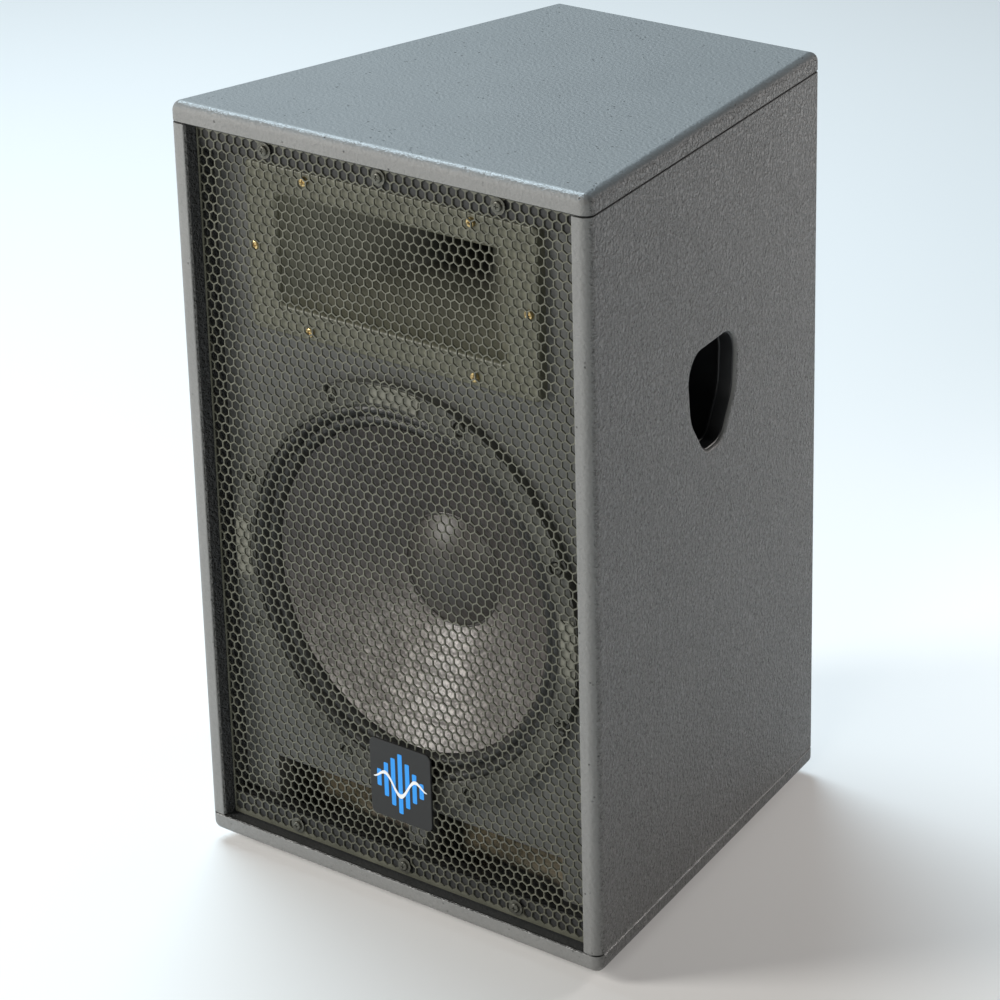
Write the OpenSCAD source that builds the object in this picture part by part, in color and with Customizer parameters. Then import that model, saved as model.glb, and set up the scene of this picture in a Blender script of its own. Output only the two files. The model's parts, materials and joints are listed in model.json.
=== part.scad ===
// Two-way loudspeaker cabinet for public address: 15-inch woofer, horn, two slot ports.
// The origin is on the floor under the middle of the box. The front faces -Y, +Z is up.

/* [Cabinet] */
// Width across the front edges
cab_w = 456; // [448:1:476]
// Width across the back edges
cab_back_w = 290; // [280:1:310]
// Depth from the front edges to the back face
cab_d = 436; // [426:1:456]
// Height of the box without its feet
cab_h = 700; // [696:1:720]
// Thickness of the outer panels
ply = 18; // [17:0.5:19]
// Radius of the rounded outer edges
edge_r = 9; // [6:1:12]
// Radius of the two upright edges at the back
back_edge_r = 4; // [3:1:6]
// Height of the rubber feet
foot_h = 10; // [8:1:14]

/* [Front] */
// Depth of the grille's face behind the front edges
grille_depth = 12; // [10:1:14]
// Thickness of the grille sheet
grille_t = 1.5; // [1:0.5:2]
// Depth of the baffle's face behind the front edges
baffle_depth = 30; // [28:1:34]
// Height of the two slot ports above the cabinet floor
port_h = 64; // [55:1:66]
// Length of the port ducts behind the front edges
port_end_depth = 150; // [120:1:160]
// Side of the badge plate
badge_w = 70; // [50:1:75]
// Height of the badge's centre
badge_z = 121; // [110:1:130]

/* [Woofer] */
// Height of the woofer's axis
woofer_z = 299; // [296:1:304]
// Outer radius of the woofer's rim
rim_r = 194; // [192:0.5:195]
// Radius of the circle of the woofer's screws
woofer_screw_r = 186; // [185:0.5:187]

/* [Horn] */
// Height of the horn's axis
horn_z = 590; // [588:1:592]
// Width of the horn's flange
horn_w = 318; // [300:1:320]
// Height of the horn's flange
horn_h = 151; // [140:1:152]

/* [Handles, sockets and feet] */
// Height of the handle opening's centre
handle_z = 467; // [460:1:480]
// Distance of the handle opening's centre along the side, from the front edge
handle_s = 227; // [220:1:235]
// Radius of the bore that takes a stand's pole
pole_bore_r = 17.9; // [17.6:0.1:18.2]
// Height of the rear connector dish's centre
dish_z = 260; // [220:1:320]
// Radius of a rubber foot
foot_r = 17; // [14:1:20]

/* [Hidden] */
$fn = 64;

paint = [0.42, 0.42, 0.41];
raw_wood = [0.72, 0.58, 0.40];
black = [0.08, 0.08, 0.08];
steel = [0.62, 0.63, 0.64];
brass = [0.72, 0.62, 0.38];
dark_steel = [0.22, 0.23, 0.22];
ferrite = [0.20, 0.20, 0.21];

// Box
front_y = -cab_d / 2;
slope = (cab_w - cab_back_w) / 2 / cab_d;
side_angle = atan(slope);
side_t = ply / cos(side_angle);
box_z = foot_h;
box_top_z = box_z + cab_h;
floor_z = box_z + ply;
ceiling_z = box_top_z - ply;
back_t = 15;
arc_steps = 8;
thin = 0.01;
fit_gap = 0.1;

// Front
batten_depth = grille_depth + grille_t;
batten_h = 23;
baffle_t = 18;
baffle_y = front_y + baffle_depth;
grille_gap = 1.5;
grille_screw_x = [-127, 0, 127];
grille_screw_z = [floor_z + batten_h / 2, ceiling_z - batten_h / 2];
port_x = [10, 165];
shelf_t = 12;
brace_z = 455;
brace_depth = [300, 350];

// Woofer, radii and places along its axis; 0 is the baffle's face and + is forward
cutout_r = 177;
rim_t = 6;
lip_r = 172;
gasket_top = 10;
surround_w = 8;
cone_edge = [150, -3];
cone_neck = [38.3, -68.8];
cone_t = 1.6;
cap_r = 52;
cap_h = 18;
coil_r = [37.5, 38.1, 39.0];
spider_z = -76;
spider_r = [38.4, 84];
plate_z = [-104, -96];
magnet_z = -124;
yoke_z = -132;
pole_r = 36.8;
gap_r = 39.7;
woofer_screw_angles = [for (i = [0:7]) 22.5 + 45 * i];

// Horn and its driver, along the horn's axis in the same sense
flange_t = 10;
mouth = [256, 100];
neck = [60, 40];
neck_z = -90;
throat_r = 12.7;
driver_z = -128;
hf_r = 50;
hf_magnet_z = -138;
hf_plate_z = [-163, -156];
hf_cover_z = -185;
hf_pole_r = 24.5;
hf_bolt_x = 38.1;
hf_plug_z = -155;
hf_plug_gap = 0.1;
hf_cover_screw_r = 43;
horn_screw_places = [[-91, 67.5], [91, 67.5], [-91, -67.5], [91, -67.5], [-150, 0], [150, 0]];

// Handles, feet, sockets
cup_depth = 40;
cup_wall = 3;
cup_screws = [[-62, 40], [62, 40], [-58, -12], [58, -12], [-30, 73], [30, 73]];
foot_places = [[-178, -178], [178, -178], [-112, 178], [112, 178]];
pole_y = -18;
pole_plate_r = 55;
pole_plate_t = 3;
pole_depth = 96;
pole_screw_r = 45;
dish = [131, 101];
dish_depth = 16;
dish_flange_t = 2.5;
dish_screw_places = [[-60.5, -45.5], [60.5, -45.5], [-60.5, 45.5], [60.5, 45.5]];
socket_x = 27;
socket_screw_places = [[-9.5, 12], [9.5, -12]];

// Crossover
board_size = [150, 96, 1.6];
board_y = 110;
board_z = floor_z + 8;
board_top = board_z + board_size[2];
standoff_places = [[-68, 70], [68, 70], [-68, 150], [68, 150]];

// Leads: the routes' own points
lead_d = 5;
input_route = [[-27, 169, 260], [-27, 150, 259], [-29, 134, 240], [-34, 128, 190],
    [-40, 126, 120], [-42, 126, 70], [-42, 126, 38]];
woofer_route = [[44, 76, 38], [44, 74, 60], [44, 50, 88], [42, 0, 112], [32, -55, 124],
    [18, -96, 136], [9, -118, 142], [8, -129, 143]];
horn_route = [[-66, 84, 38], [-66, 80, 60], [-74, 60, 110], [-84, 42, 190], [-88, 34, 300],
    [-84, 32, 420], [-60, 30, 510], [-34, 24, 562], [-24, 16, 584], [-20, 5, 590]];

// ---------- outlines ----------

function half_w(d) = cab_w / 2 - slope * d;
function inner_half_w(d) = half_w(d) - side_t;

// Points of one rounded corner p between its neighbours a and b
function corner(a, p, b, r) =
    let(
        u = (a - p) / norm(a - p),
        v = (b - p) / norm(b - p),
        half = acos(u * v) / 2,
        c = p + (u + v) / norm(u + v) * r / sin(half),
        s = p + u * r / tan(half) - c,
        e = p + v * r / tan(half) - c,
        from = atan2(s[1], s[0]),
        turn = atan2(e[1], e[0]) - from,
        sweep = turn > 180 ? turn - 360 : turn < -180 ? turn + 360 : turn
    )
    r < 0.1 ? [p] : [for (i = [0:arc_steps]) c + r * [cos(from + sweep * i / arc_steps),
                                                     sin(from + sweep * i / arc_steps)]];

function rounded(points, radii) =
    let(n = len(points))
    [for (i = [0:n - 1])
        each corner(points[(i + n - 1) % n], points[i], points[(i + 1) % n], radii[i])];

function rounded_rect(w, h, r) =
    rounded([[-w / 2, -h / 2], [w / 2, -h / 2], [w / 2, h / 2], [-w / 2, h / 2]], [r, r, r, r]);

// The box's outline seen from above, moved in by e
function footprint(e) =
    let(
        front = half_w(e) - e / cos(side_angle),
        back = half_w(cab_d - e) - e / cos(side_angle),
        rf = max(edge_r - e, 0.5),
        rb = max(back_edge_r - e, 0.5)
    )
    rounded([[-front, front_y + e], [front, front_y + e], [back, -front_y - e],
             [-back, -front_y - e]], [rf, rf, rb, rb]);

// The handle opening: a triangle on its point with wide rounded corners
handle_outline = rounded([[-50, 45], [-43, -14], [-15, -52], [19, -52], [45, -14], [50, 45]],
                         [24, 40, 22, 22, 40, 24]);

// The cup behind it, which is taller so that fingers can hook upwards
function cup_outline(g) =
    rounded([[-54 - g, 64 + g], [-48 - g, -16], [-17 - g, -56 - g], [21 + g, -56 - g],
             [50 + g, -16], [54 + g, 64 + g]], [20, 40, 22, 22, 40, 20]);

// ---------- places ----------

module upright(y, z) translate([0, y, z]) rotate([90, 0, 0]) children();

module on_woofer() upright(baffle_y, woofer_z) children();

module on_horn() upright(baffle_y, horn_z) children();

module on_back(x, z) translate([x, -front_y, z]) rotate([-90, 0, 0]) children();

// On the right side panel: x runs along the panel to the back, y up and z out of the box
module on_side(s, z) translate([cab_w / 2, front_y, 0]) rotate([0, 0, side_angle])
    rotate([90, 0, 90]) translate([s, z, 0]) children();

module both_sides() {
    children();
    mirror([1, 0, 0]) children();
}

// ---------- shared shapes ----------

// A board that fills the width between the side panels
module board(d0, d1, z0, z1, gap = 0) {
    translate([0, 0, z0]) linear_extrude(z1 - z0) polygon([
        [-inner_half_w(d0) + gap, front_y + d0], [inner_half_w(d0) - gap, front_y + d0],
        [inner_half_w(d1) - gap, front_y + d1], [-inner_half_w(d1) + gap, front_y + d1]]);
}

// A panel with the box's outline whose upper outer edges are rounded over
module rounded_panel() {
    hull() {
        linear_extrude(ply - edge_r) polygon(footprint(0));
        for (i = [1:arc_steps])
            translate([0, 0, ply - edge_r + edge_r * sin(90 * i / arc_steps) - thin])
                linear_extrude(thin) polygon(footprint(edge_r * (1 - cos(90 * i / arc_steps))));
    }
}

module ring(r_in, r_out, z0, z1) rotate_extrude()
    translate([r_in, z0]) square([r_out - r_in, z1 - z0]);

// A pan-head screw with a cross recess; its shank points to -z
module screw(head_r, head_h, shank_r, length) {
    difference() {
        cylinder(h = head_h, r1 = head_r, r2 = head_r * 0.82);
        for (a = [0, 90]) rotate([0, 0, a])
            translate([-head_r * 0.5, -head_r * 0.1, head_h * 0.5])
                cube([head_r, head_r * 0.2, head_h]);
    }
    translate([0, 0, -length]) cylinder(h = length, r = shank_r);
}

module hole(r, z0, z1) translate([0, 0, z0]) cylinder(h = z1 - z0, r = r);

// ---------- enclosure ----------

module top_panel() color(paint)
    translate([0, 0, ceiling_z]) rounded_panel();

module bottom_panel() color(paint) difference() {
    translate([0, 0, floor_z]) mirror([0, 0, 1]) rounded_panel();
    translate([0, pole_y, 0]) {
        hole(pole_bore_r + cup_wall + fit_gap, box_z - 1, floor_z + 1);
        hole(pole_plate_r + fit_gap, box_z - 1, box_z + pole_plate_t);
        for (a = [45:90:315]) rotate([0, 0, a]) translate([pole_screw_r, 0, 0])
            hole(2 + fit_gap, box_z, floor_z - 2);
    }
    for (p = foot_places) translate(p) hole(2 + fit_gap, box_z - 1, floor_z - 3);
    for (p = standoff_places) translate(p) hole(1.5 + fit_gap, floor_z - 9, floor_z + 1);
}

module right_side_panel() color(paint) difference() {
    translate([0, 0, floor_z]) linear_extrude(ceiling_z - floor_z)
        polygon(rounded([[inner_half_w(0), front_y], [half_w(0), front_y],
                         [half_w(cab_d), -front_y], [inner_half_w(cab_d), -front_y]],
                        [0, edge_r, back_edge_r, 0]));
    on_side(handle_s, handle_z) {
        translate([0, 0, -ply - 2]) linear_extrude(ply + 4) polygon(handle_outline);
        for (p = cup_screws) translate(p) hole(1.6 + fit_gap, -ply - 1, -ply + 12);
    }
}

module left_side_panel() mirror([1, 0, 0]) right_side_panel();

module back_panel() color(paint) difference() {
    board(cab_d - back_t, cab_d, floor_z, ceiling_z);
    on_back(0, dish_z) {
        translate([0, 0, -back_t - 1]) linear_extrude(back_t + 2)
            polygon(rounded_rect(dish[0] - 20 + 2 * fit_gap, dish[1] - 20 + 2 * fit_gap, 6));
        translate([0, 0, -dish_flange_t]) linear_extrude(dish_flange_t + 1)
            polygon(rounded_rect(dish[0] + 1, dish[1] + 1, 6.5));
        for (p = dish_screw_places) translate(p) hole(1.5 + fit_gap, -12.5, 1);
    }
}

module front_baffle() color(dark_steel) difference() {
    board(baffle_depth, baffle_depth + baffle_t, floor_z, ceiling_z);
    on_woofer() {
        hole(cutout_r, -baffle_t - 1, 1);
        for (a = woofer_screw_angles) rotate([0, 0, a]) translate([woofer_screw_r, 0, 0])
            hole(2.9 + fit_gap, -baffle_t - 1, 1);
    }
    on_horn() {
        translate([0, 0, -baffle_t - 1]) linear_extrude(baffle_t + 2)
            polygon(rounded_rect(mouth[0] - 4, mouth[1] + 8, 5));
        for (p = horn_screw_places) translate(p) hole(2 + fit_gap, -baffle_t + 2, 1);
    }
    for (side = [-1, 1]) translate([side * (port_x[0] + port_x[1]) / 2, 0, floor_z + port_h / 2])
        cube([port_x[1] - port_x[0], cab_d, port_h + thin], center = true);
}

module grille_batten(z, screw_z) color(dark_steel) difference() {
    board(batten_depth, baffle_depth, z, z + batten_h);
    for (x = grille_screw_x) translate([x, 0, 0]) upright(front_y + batten_depth, screw_z)
        hole(2 + fit_gap, -14, 1);
}

module upper_grille_batten() grille_batten(ceiling_z - batten_h, grille_screw_z[1]);

module lower_grille_batten() grille_batten(floor_z, grille_screw_z[0]);

module port_shelf() color(raw_wood)
    board(baffle_depth + baffle_t, port_end_depth, floor_z + port_h, floor_z + port_h + shelf_t);

module port_wall(x0, x1) translate([x0, baffle_y + baffle_t, floor_z])
    cube([x1 - x0, port_end_depth - baffle_depth - baffle_t, port_h]);

module port_divider() color(raw_wood) port_wall(-port_x[0], port_x[0]);

module port_side_walls() color(raw_wood)
    both_sides() port_wall(port_x[1], port_x[1] + shelf_t);

module cross_brace() color(raw_wood)
    board(brace_depth[0], brace_depth[1], brace_z, brace_z + ply);

// ---------- grille and badge ----------

module grille() color(steel) difference() {
    board(grille_depth, grille_depth + grille_t, floor_z + grille_gap, ceiling_z - grille_gap,
          grille_gap);
    for (x = grille_screw_x, z = grille_screw_z) translate([x, 0, 0])
        upright(front_y + grille_depth, z) hole(2.4, -5, 5);
}

module grille_screws() color(black)
    for (x = grille_screw_x, z = grille_screw_z) translate([x, 0, 0])
        upright(front_y + grille_depth, z) {
            ring(2.1, 7.5, 0, 1);
            translate([0, 0, 1]) screw(4.6, 2.8, 2, 13);
        }

module badge() color(black)
    upright(front_y + grille_depth, badge_z)
        linear_extrude(2) polygon(rounded_rect(badge_w, badge_w + 5, 6));

// ---------- handles, feet, pole socket ----------

module right_handle_cup() color(black) on_side(handle_s, handle_z) difference() {
    union() {
        translate([0, 0, -ply - 4]) linear_extrude(4) polygon(cup_outline(18));
        translate([0, 0, -ply - cup_depth - cup_wall]) linear_extrude(cup_depth)
            polygon(cup_outline(cup_wall));
    }
    translate([0, 0, -ply - cup_depth]) linear_extrude(cup_depth + 1) polygon(cup_outline(0));
    for (p = cup_screws) translate(p) hole(1.8, -ply - 5, -ply + 1);
}

module left_handle_cup() mirror([1, 0, 0]) right_handle_cup();

module handle_screws() color(black) both_sides() on_side(handle_s, handle_z)
    for (p = cup_screws) translate([p[0], p[1], -ply - 4]) mirror([0, 0, 1])
        screw(3.6, 2.4, 1.6, 15);

module rubber_feet() color(black) for (p = foot_places) translate(p) difference() {
    cylinder(h = foot_h, r1 = foot_r - 2, r2 = foot_r);
    hole(6, -1, foot_h - 5);
    hole(2.4, 0, foot_h + 1);
}

module foot_screws() color(steel) for (p = foot_places)
    translate([p[0], p[1], foot_h - 5]) mirror([0, 0, 1]) screw(4.6, 2.8, 2, 19);

module pole_socket() color(black) translate([0, pole_y, box_z]) difference() {
    union() {
        cylinder(h = pole_plate_t, r = pole_plate_r);
        cylinder(h = pole_depth + cup_wall, r = pole_bore_r + cup_wall);
    }
    hole(pole_bore_r, -1, pole_depth);
    for (a = [45:90:315]) rotate([0, 0, a]) translate([pole_screw_r, 0, 0]) {
        hole(2.3, -1, pole_plate_t + 1);
        translate([0, 0, -thin]) cylinder(h = 2.2, r1 = 4.6, r2 = 2.3);
    }
}

module pole_socket_screws() color(steel) translate([0, pole_y, box_z])
    for (a = [45:90:315]) rotate([0, 0, a]) translate([pole_screw_r, 0, 0]) {
        cylinder(h = 2.1, r1 = 4.4, r2 = 2);
        cylinder(h = 15, r = 2);
    }

// ---------- rear connectors ----------

module connector_dish() color(black) on_back(0, dish_z) difference() {
    union() {
        translate([0, 0, -dish_flange_t]) linear_extrude(dish_flange_t)
            polygon(rounded_rect(dish[0], dish[1], 6));
        translate([0, 0, -dish_depth - 2.5]) linear_extrude(dish_depth)
            polygon(rounded_rect(dish[0] - 20, dish[1] - 20, 6));
    }
    translate([0, 0, -dish_depth]) linear_extrude(dish_depth + 1)
        polygon(rounded_rect(dish[0] - 25, dish[1] - 25, 4));
    for (side = [-1, 1]) translate([side * socket_x, 0, 0]) {
        hole(12 + fit_gap, -dish_depth - 5, 0);
        for (p = socket_screw_places) translate(p) hole(1.7, -dish_depth - 5, 0);
    }
    for (p = dish_screw_places) translate(p) hole(1.8, -5, 1);
}

module dish_screws() color(steel) on_back(0, dish_z)
    for (p = dish_screw_places) translate([p[0], p[1], -dish_flange_t + thin]) {
        translate([0, 0, -9]) cylinder(h = 9, r = 1.5);
        cylinder(h = 2.3, r1 = 1.5, r2 = 1.7);
    }

// A chassis socket for a locking speaker plug: flange, barrel with a ring groove, tabs
module speaker_socket(x) color("royalblue") on_back(x, dish_z) translate([0, 0, -dish_depth]) {
    difference() {
        union() {
            linear_extrude(2) polygon(rounded_rect(26, 31, 3));
            translate([0, 0, -24]) cylinder(h = 24, r = 12);
        }
        difference() {
            hole(10.5, -12, 3);
            hole(6.5, -13, 2);
        }
        for (p = socket_screw_places) translate(p) hole(1.7, -1, 3);
    }
    for (side = [-1, 1]) translate([side * 5 - 2.4, -0.4, -32]) cube([4.8, 0.8, 8]);
}

module input_socket() speaker_socket(-socket_x);

module link_socket() speaker_socket(socket_x);

module socket_screws() color(steel) for (side = [-1, 1], p = socket_screw_places)
    on_back(side * socket_x, dish_z) translate([p[0], p[1], 2 - dish_depth])
        screw(2.6, 1.8, 1.5, 8);

// ---------- woofer ----------

module woofer_basket() color(dark_steel) on_woofer() difference() {
    rotate_extrude() polygon([
        [cutout_r - 1, 0], [rim_r, 0], [rim_r, rim_t], [lip_r, rim_t], [lip_r, -12], [87, -91],
        [spider_r[1], -91], [spider_r[1], spider_z], [80, spider_z], [80, -92], [42, -92],
        [42, plate_z[1]], [90, plate_z[1]], [cutout_r - 1, -15]]);
    for (a = [0:60:300]) rotate([0, 0, a]) translate([0, 0, -78]) linear_extrude(62)
        polygon([[92, -26], [190, -62], [190, 62], [92, 26]]);
    for (a = woofer_screw_angles) rotate([0, 0, a]) translate([woofer_screw_r, 0, 0])
        hole(3.2, -1, rim_t + 1);
}

module woofer_gasket() color(black) on_woofer() difference() {
    rotate_extrude() polygon([[rim_r, rim_t], [rim_r, gasket_top], [lip_r + 2, gasket_top],
        [lip_r, gasket_top - 1.5], [lip_r, rim_t + 0.9], [lip_r + surround_w + 0.2, rim_t + 0.9],
        [lip_r + surround_w + 0.2, rim_t]]);
    for (a = woofer_screw_angles) rotate([0, 0, a]) {
        translate([woofer_screw_r, 0, 0]) hole(7, rim_t - 1, gasket_top + 1);
        translate([woofer_screw_r, -5, rim_t - 1]) cube([20, 10, 8]);
    }
}

// Height of the two-roll surround at radius r, between the cone's edge and the rim
roll_r = [cone_edge[0] + 0.3, lip_r];
function roll_z(r) =
    let(s = (r - roll_r[0]) / (roll_r[1] - roll_r[0]))
    cone_edge[1] - 1 + (rim_t + 1.5 - cone_edge[1] - 1) * s + 4.2 * abs(sin(360 * s));

module woofer_surround() color(black) on_woofer() {
    steps = 24;
    radii = [for (i = [0:steps]) roll_r[0] + (roll_r[1] - roll_r[0]) * i / steps];
    rotate_extrude() polygon(concat(
        [for (r = radii) [r, roll_z(r) + 0.4]],
        [[lip_r + surround_w, rim_t + 0.8], [lip_r + surround_w, rim_t], [lip_r, rim_t]],
        [for (i = [1:steps]) [radii[steps - i], roll_z(radii[steps - i]) - 0.4]]));
}

module woofer_cone() color([0.16, 0.15, 0.15]) on_woofer() rotate_extrude()
    polygon([[cone_neck[0], cone_neck[1] - cone_t], [cone_edge[0], cone_edge[1] - cone_t],
             cone_edge, cone_neck]);

// The dust cap is a dome on the cone; its rim stands on the cone's face
cap_base_z = cone_neck[1] + (cap_r - cone_neck[0]) * (cone_edge[1] - cone_neck[1])
    / (cone_edge[0] - cone_neck[0]) + 0.3;
cap_sphere_r = (cap_r * cap_r + cap_h * cap_h) / (2 * cap_h);
function dome(r_edge, r_ball, z_top, steps) = [for (i = [0:steps])
    let(a = asin(r_edge / r_ball) * (1 - i / steps)) [r_ball * sin(a), z_top - r_ball * (1 - cos(a))]];

module woofer_dust_cap() color([0.20, 0.19, 0.18]) on_woofer() rotate_extrude()
    polygon(concat(
        dome(cap_r, cap_sphere_r, cap_base_z + cap_h, 10),
        [for (i = [0:10]) dome(cap_r - 1, cap_sphere_r - 1, cap_base_z + cap_h - 1, 10)[10 - i]]));

module woofer_voice_coil() color([0.72, 0.45, 0.20]) on_woofer() {
    ring(coil_r[0], coil_r[1], -112, -64);
    ring(coil_r[1], coil_r[2], -108, -92);
}

// Corrugated spider between the coil's former and the basket's ledge
spider_waves = 5;
spider_roll_end = 79;
function wave_z(r) = spider_z + 0.1
    + 1.8 * (1 - cos(360 * spider_waves * (r - spider_r[0]) / (spider_roll_end - spider_r[0])));

module woofer_spider() color([0.65, 0.55, 0.25]) on_woofer() {
    steps = 48;
    radii = [for (i = [0:steps]) spider_r[0] + (spider_roll_end - spider_r[0]) * i / steps];
    rotate_extrude() polygon(concat(
        [for (r = radii) [r, wave_z(r)]],
        [[spider_r[1], spider_z + 0.1], [spider_r[1], spider_z + 0.9]],
        [for (i = [0:steps]) [radii[steps - i], wave_z(radii[steps - i]) + 0.8]]));
}

module woofer_top_plate() color(steel) on_woofer() ring(gap_r, 86, plate_z[0], plate_z[1]);

module woofer_magnet() color(ferrite) on_woofer() ring(52, 95, magnet_z, plate_z[0]);

module woofer_yoke() color(steel) on_woofer() rotate_extrude()
    polygon([[12, yoke_z], [84, yoke_z], [88, magnet_z - 4], [88, magnet_z],
             [pole_r, magnet_z], [pole_r, -95], [12, -95]]);

// A terminal block that stands on one leg of the basket, below the axis
module woofer_terminals() color(black) on_woofer() rotate([0, 0, 270]) {
    rotate([90, 0, 0]) translate([0, 0, -15]) linear_extrude(30)
        polygon([[154.4, -36], [168, -36], [168, -50], [139.6, -50]]);
    for (side = [-1, 1]) translate([156, side * 8 - 3, -58]) cube([0.8, 6, 8]);
}

module woofer_screws() color(black) on_woofer() for (a = woofer_screw_angles)
    rotate([0, 0, a]) translate([woofer_screw_r, 0, rim_t]) screw(5.5, 3.8, 2.9, 30);

// ---------- horn and compression driver ----------

module slab(w, h, z) translate([-w / 2, -h / 2, z]) cube([w, h, thin]);

// A flange, four flat walls that narrow to the neck, and a round throat with the driver's flange
module horn() color([0.20, 0.20, 0.19]) on_horn() difference() {
    wall = 4;
    throat_h = neck_z - driver_z;
    union() {
        linear_extrude(flange_t) polygon(rounded_rect(horn_w, horn_h, 5));
        hull() {
            slab(mouth[0] - 7, mouth[1] + wall, 2);
            slab(neck[0] + 2 * wall, neck[1] + 2 * wall, neck_z);
        }
        translate([0, 0, driver_z + wall])
            cylinder(h = throat_h, r1 = throat_r + 7, r2 = neck[1] / 2 + wall - 0.5);
        hole(hf_r, driver_z, driver_z + 2 * wall);
    }
    hull() {
        slab(mouth[0], mouth[1], flange_t);
        slab(neck[0], neck[1], neck_z + wall);
    }
    translate([0, 0, driver_z - 1])
        cylinder(h = throat_h + wall + 2, r1 = throat_r - 0.2, r2 = neck[1] / 2 - 0.2);
    for (side = [-1, 1]) translate([side * hf_bolt_x, 0, 0])
        hole(3.2, driver_z - 1, driver_z + 2 * wall + 1);
    for (p = horn_screw_places) translate(p) hole(2.3, -1, flange_t + 1);
}

module horn_screws() color(brass) on_horn() for (p = horn_screw_places)
    translate([p[0], p[1], flange_t]) screw(4.4, 2.8, 2, 24);

module hf_yoke() color(steel) on_horn() difference() {
    union() {
        hole(hf_r, hf_magnet_z, driver_z);
        hole(hf_pole_r, hf_plate_z[0], hf_magnet_z + thin);
    }
    translate([0, 0, hf_plug_z]) cylinder(h = driver_z - hf_plug_z, r1 = 17, r2 = throat_r);
    hole(throat_r, driver_z - thin, driver_z + 1);
    hole(22, hf_plate_z[0] - 1, hf_plug_z + thin);
    for (side = [-1, 1]) translate([side * hf_bolt_x, 0, 0]) hole(3.1, driver_z - 9, driver_z + 1);
}

module hf_magnet() color(ferrite) on_horn() ring(30, hf_r, hf_plate_z[1], hf_magnet_z);

module hf_top_plate() color(steel) on_horn() difference() {
    ring(26.6, hf_r, hf_plate_z[0], hf_plate_z[1]);
    for (a = [45:90:315]) rotate([0, 0, a]) translate([hf_cover_screw_r, 0, 0])
        hole(2.1, hf_plate_z[0] - 1, hf_plate_z[1] + 1);
}

// Three concentric rings joined by three spokes
module hf_phase_plug() color(black) on_horn() {
    back = hf_plate_z[0];
    front = hf_plug_z - hf_plug_gap;
    ring(18.5, 21.9, back, front);
    ring(11, 16.5, back, front);
    hole(9, back, front);
    for (a = [0:120:240]) rotate([0, 0, a]) translate([8, -1.2, back + 3]) cube([12, 2.4, 3]);
}

module hf_diaphragm() color([0.70, 0.70, 0.72]) on_horn() {
    ring(25.1, 26, -166, -158);
    translate([0, 0, -166]) mirror([0, 0, 1]) rotate_extrude() polygon(concat(
        dome(26, 52, 7, 8), [for (i = [0:8]) dome(25, 51.4, 6.4, 8)[8 - i]]));
    ring(26, 33, -166, -165.4);
}

module hf_rear_cover() color(black) on_horn() difference() {
    rotate_extrude() polygon([[0, hf_cover_z], [46, hf_cover_z], [hf_r, hf_cover_z + 4],
        [hf_r, hf_plate_z[0]], [36, hf_plate_z[0]], [36, hf_cover_z + 3], [0, hf_cover_z + 3]]);
    for (a = [45:90:315]) rotate([0, 0, a]) translate([hf_cover_screw_r, 0, 0])
        hole(2.1, hf_cover_z - 1, hf_plate_z[0] + 1);
}

module hf_terminals() color(steel) on_horn() for (side = [-1, 1])
    translate([side * 20 - 3, -0.4, hf_cover_z - 7]) cube([6, 0.8, 7]);

module hf_cover_screws() color(steel) on_horn() for (a = [45:90:315])
    rotate([0, 0, a]) translate([hf_cover_screw_r, 0, hf_cover_z]) mirror([0, 0, 1])
        screw(3.4, 2.4, 2, 28);

module hf_mount_bolts() color(steel) on_horn() for (side = [-1, 1])
    translate([side * hf_bolt_x, 0, driver_z + 8]) screw(5, 4, 3, 16);

// ---------- crossover ----------

module crossover_board() color([0.10, 0.30, 0.16]) difference() {
    translate([-board_size[0] / 2, board_y - board_size[1] / 2, board_z]) cube(board_size);
    for (p = standoff_places) translate(p) hole(1.6, board_z - 1, board_top + 1);
}

module crossover_standoffs() color(steel) for (p = standoff_places) translate(p) {
    ring(1.7, 4, floor_z, board_z);
    translate([0, 0, board_top]) screw(3, 2, 1.5, 8 + board_size[2] + 8);
}

module crossover_coils() color([0.72, 0.40, 0.18]) {
    translate([-36, 92, board_top]) ring(12, 25, 0, 22);
    translate([32, 142, board_top + 18]) rotate([0, 90, 0]) ring(9, 18, -9, 9);
}

module crossover_capacitors() color([0.75, 0.72, 0.25])
    for (p = [[0, 74], [0, 96], [-20, 146]])
        translate([p[0], p[1], board_top + 9]) rotate([0, 90, 0]) hole(9, 0, 34);

module crossover_resistors() color([0.88, 0.86, 0.80])
    for (y = [112, 126]) translate([44, y - 4, board_top]) cube([26, 8, 8]);

// ---------- leads ----------

// A point of the smooth curve through p, at t from 0 to len(p) - 1
function curve(p, t) =
    let(
        i = min(floor(t), len(p) - 2),
        f = t - i,
        a = p[max(i - 1, 0)],
        b = p[i],
        c = p[i + 1],
        d = p[min(i + 2, len(p) - 1)]
    )
    ((2 * b) + (c - a) * f + (2 * a - 5 * b + 4 * c - d) * f * f
        + (3 * b - a - 3 * c + d) * f * f * f) / 2;

// A tube swept along the route; no stretch of a route runs along x
module lead(route) {
    sides = 8;
    per_span = 5;
    rings = (len(route) - 1) * per_span;
    centres = [for (i = [0:rings]) curve(route, i / per_span)];
    points = [for (i = [0:rings])
        let(
            along = centres[min(i + 1, rings)] - centres[max(i - 1, 0)],
            u = cross(along, [1, 0, 0]) / norm(cross(along, [1, 0, 0])),
            v = cross(along, u) / norm(along)
        )
        for (k = [0:sides - 1])
            centres[i] + lead_d / 2 * (u * cos(360 * k / sides) + v * sin(360 * k / sides))];
    walls = [for (i = [0:rings - 1], k = [0:sides - 1])
        let(n = (k + 1) % sides)
        [i * sides + k, i * sides + n, (i + 1) * sides + n, (i + 1) * sides + k]];
    polyhedron(points, concat(
        [[for (k = [0:sides - 1]) sides - 1 - k]], walls,
        [[for (k = [0:sides - 1]) rings * sides + k]]));
}

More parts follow.
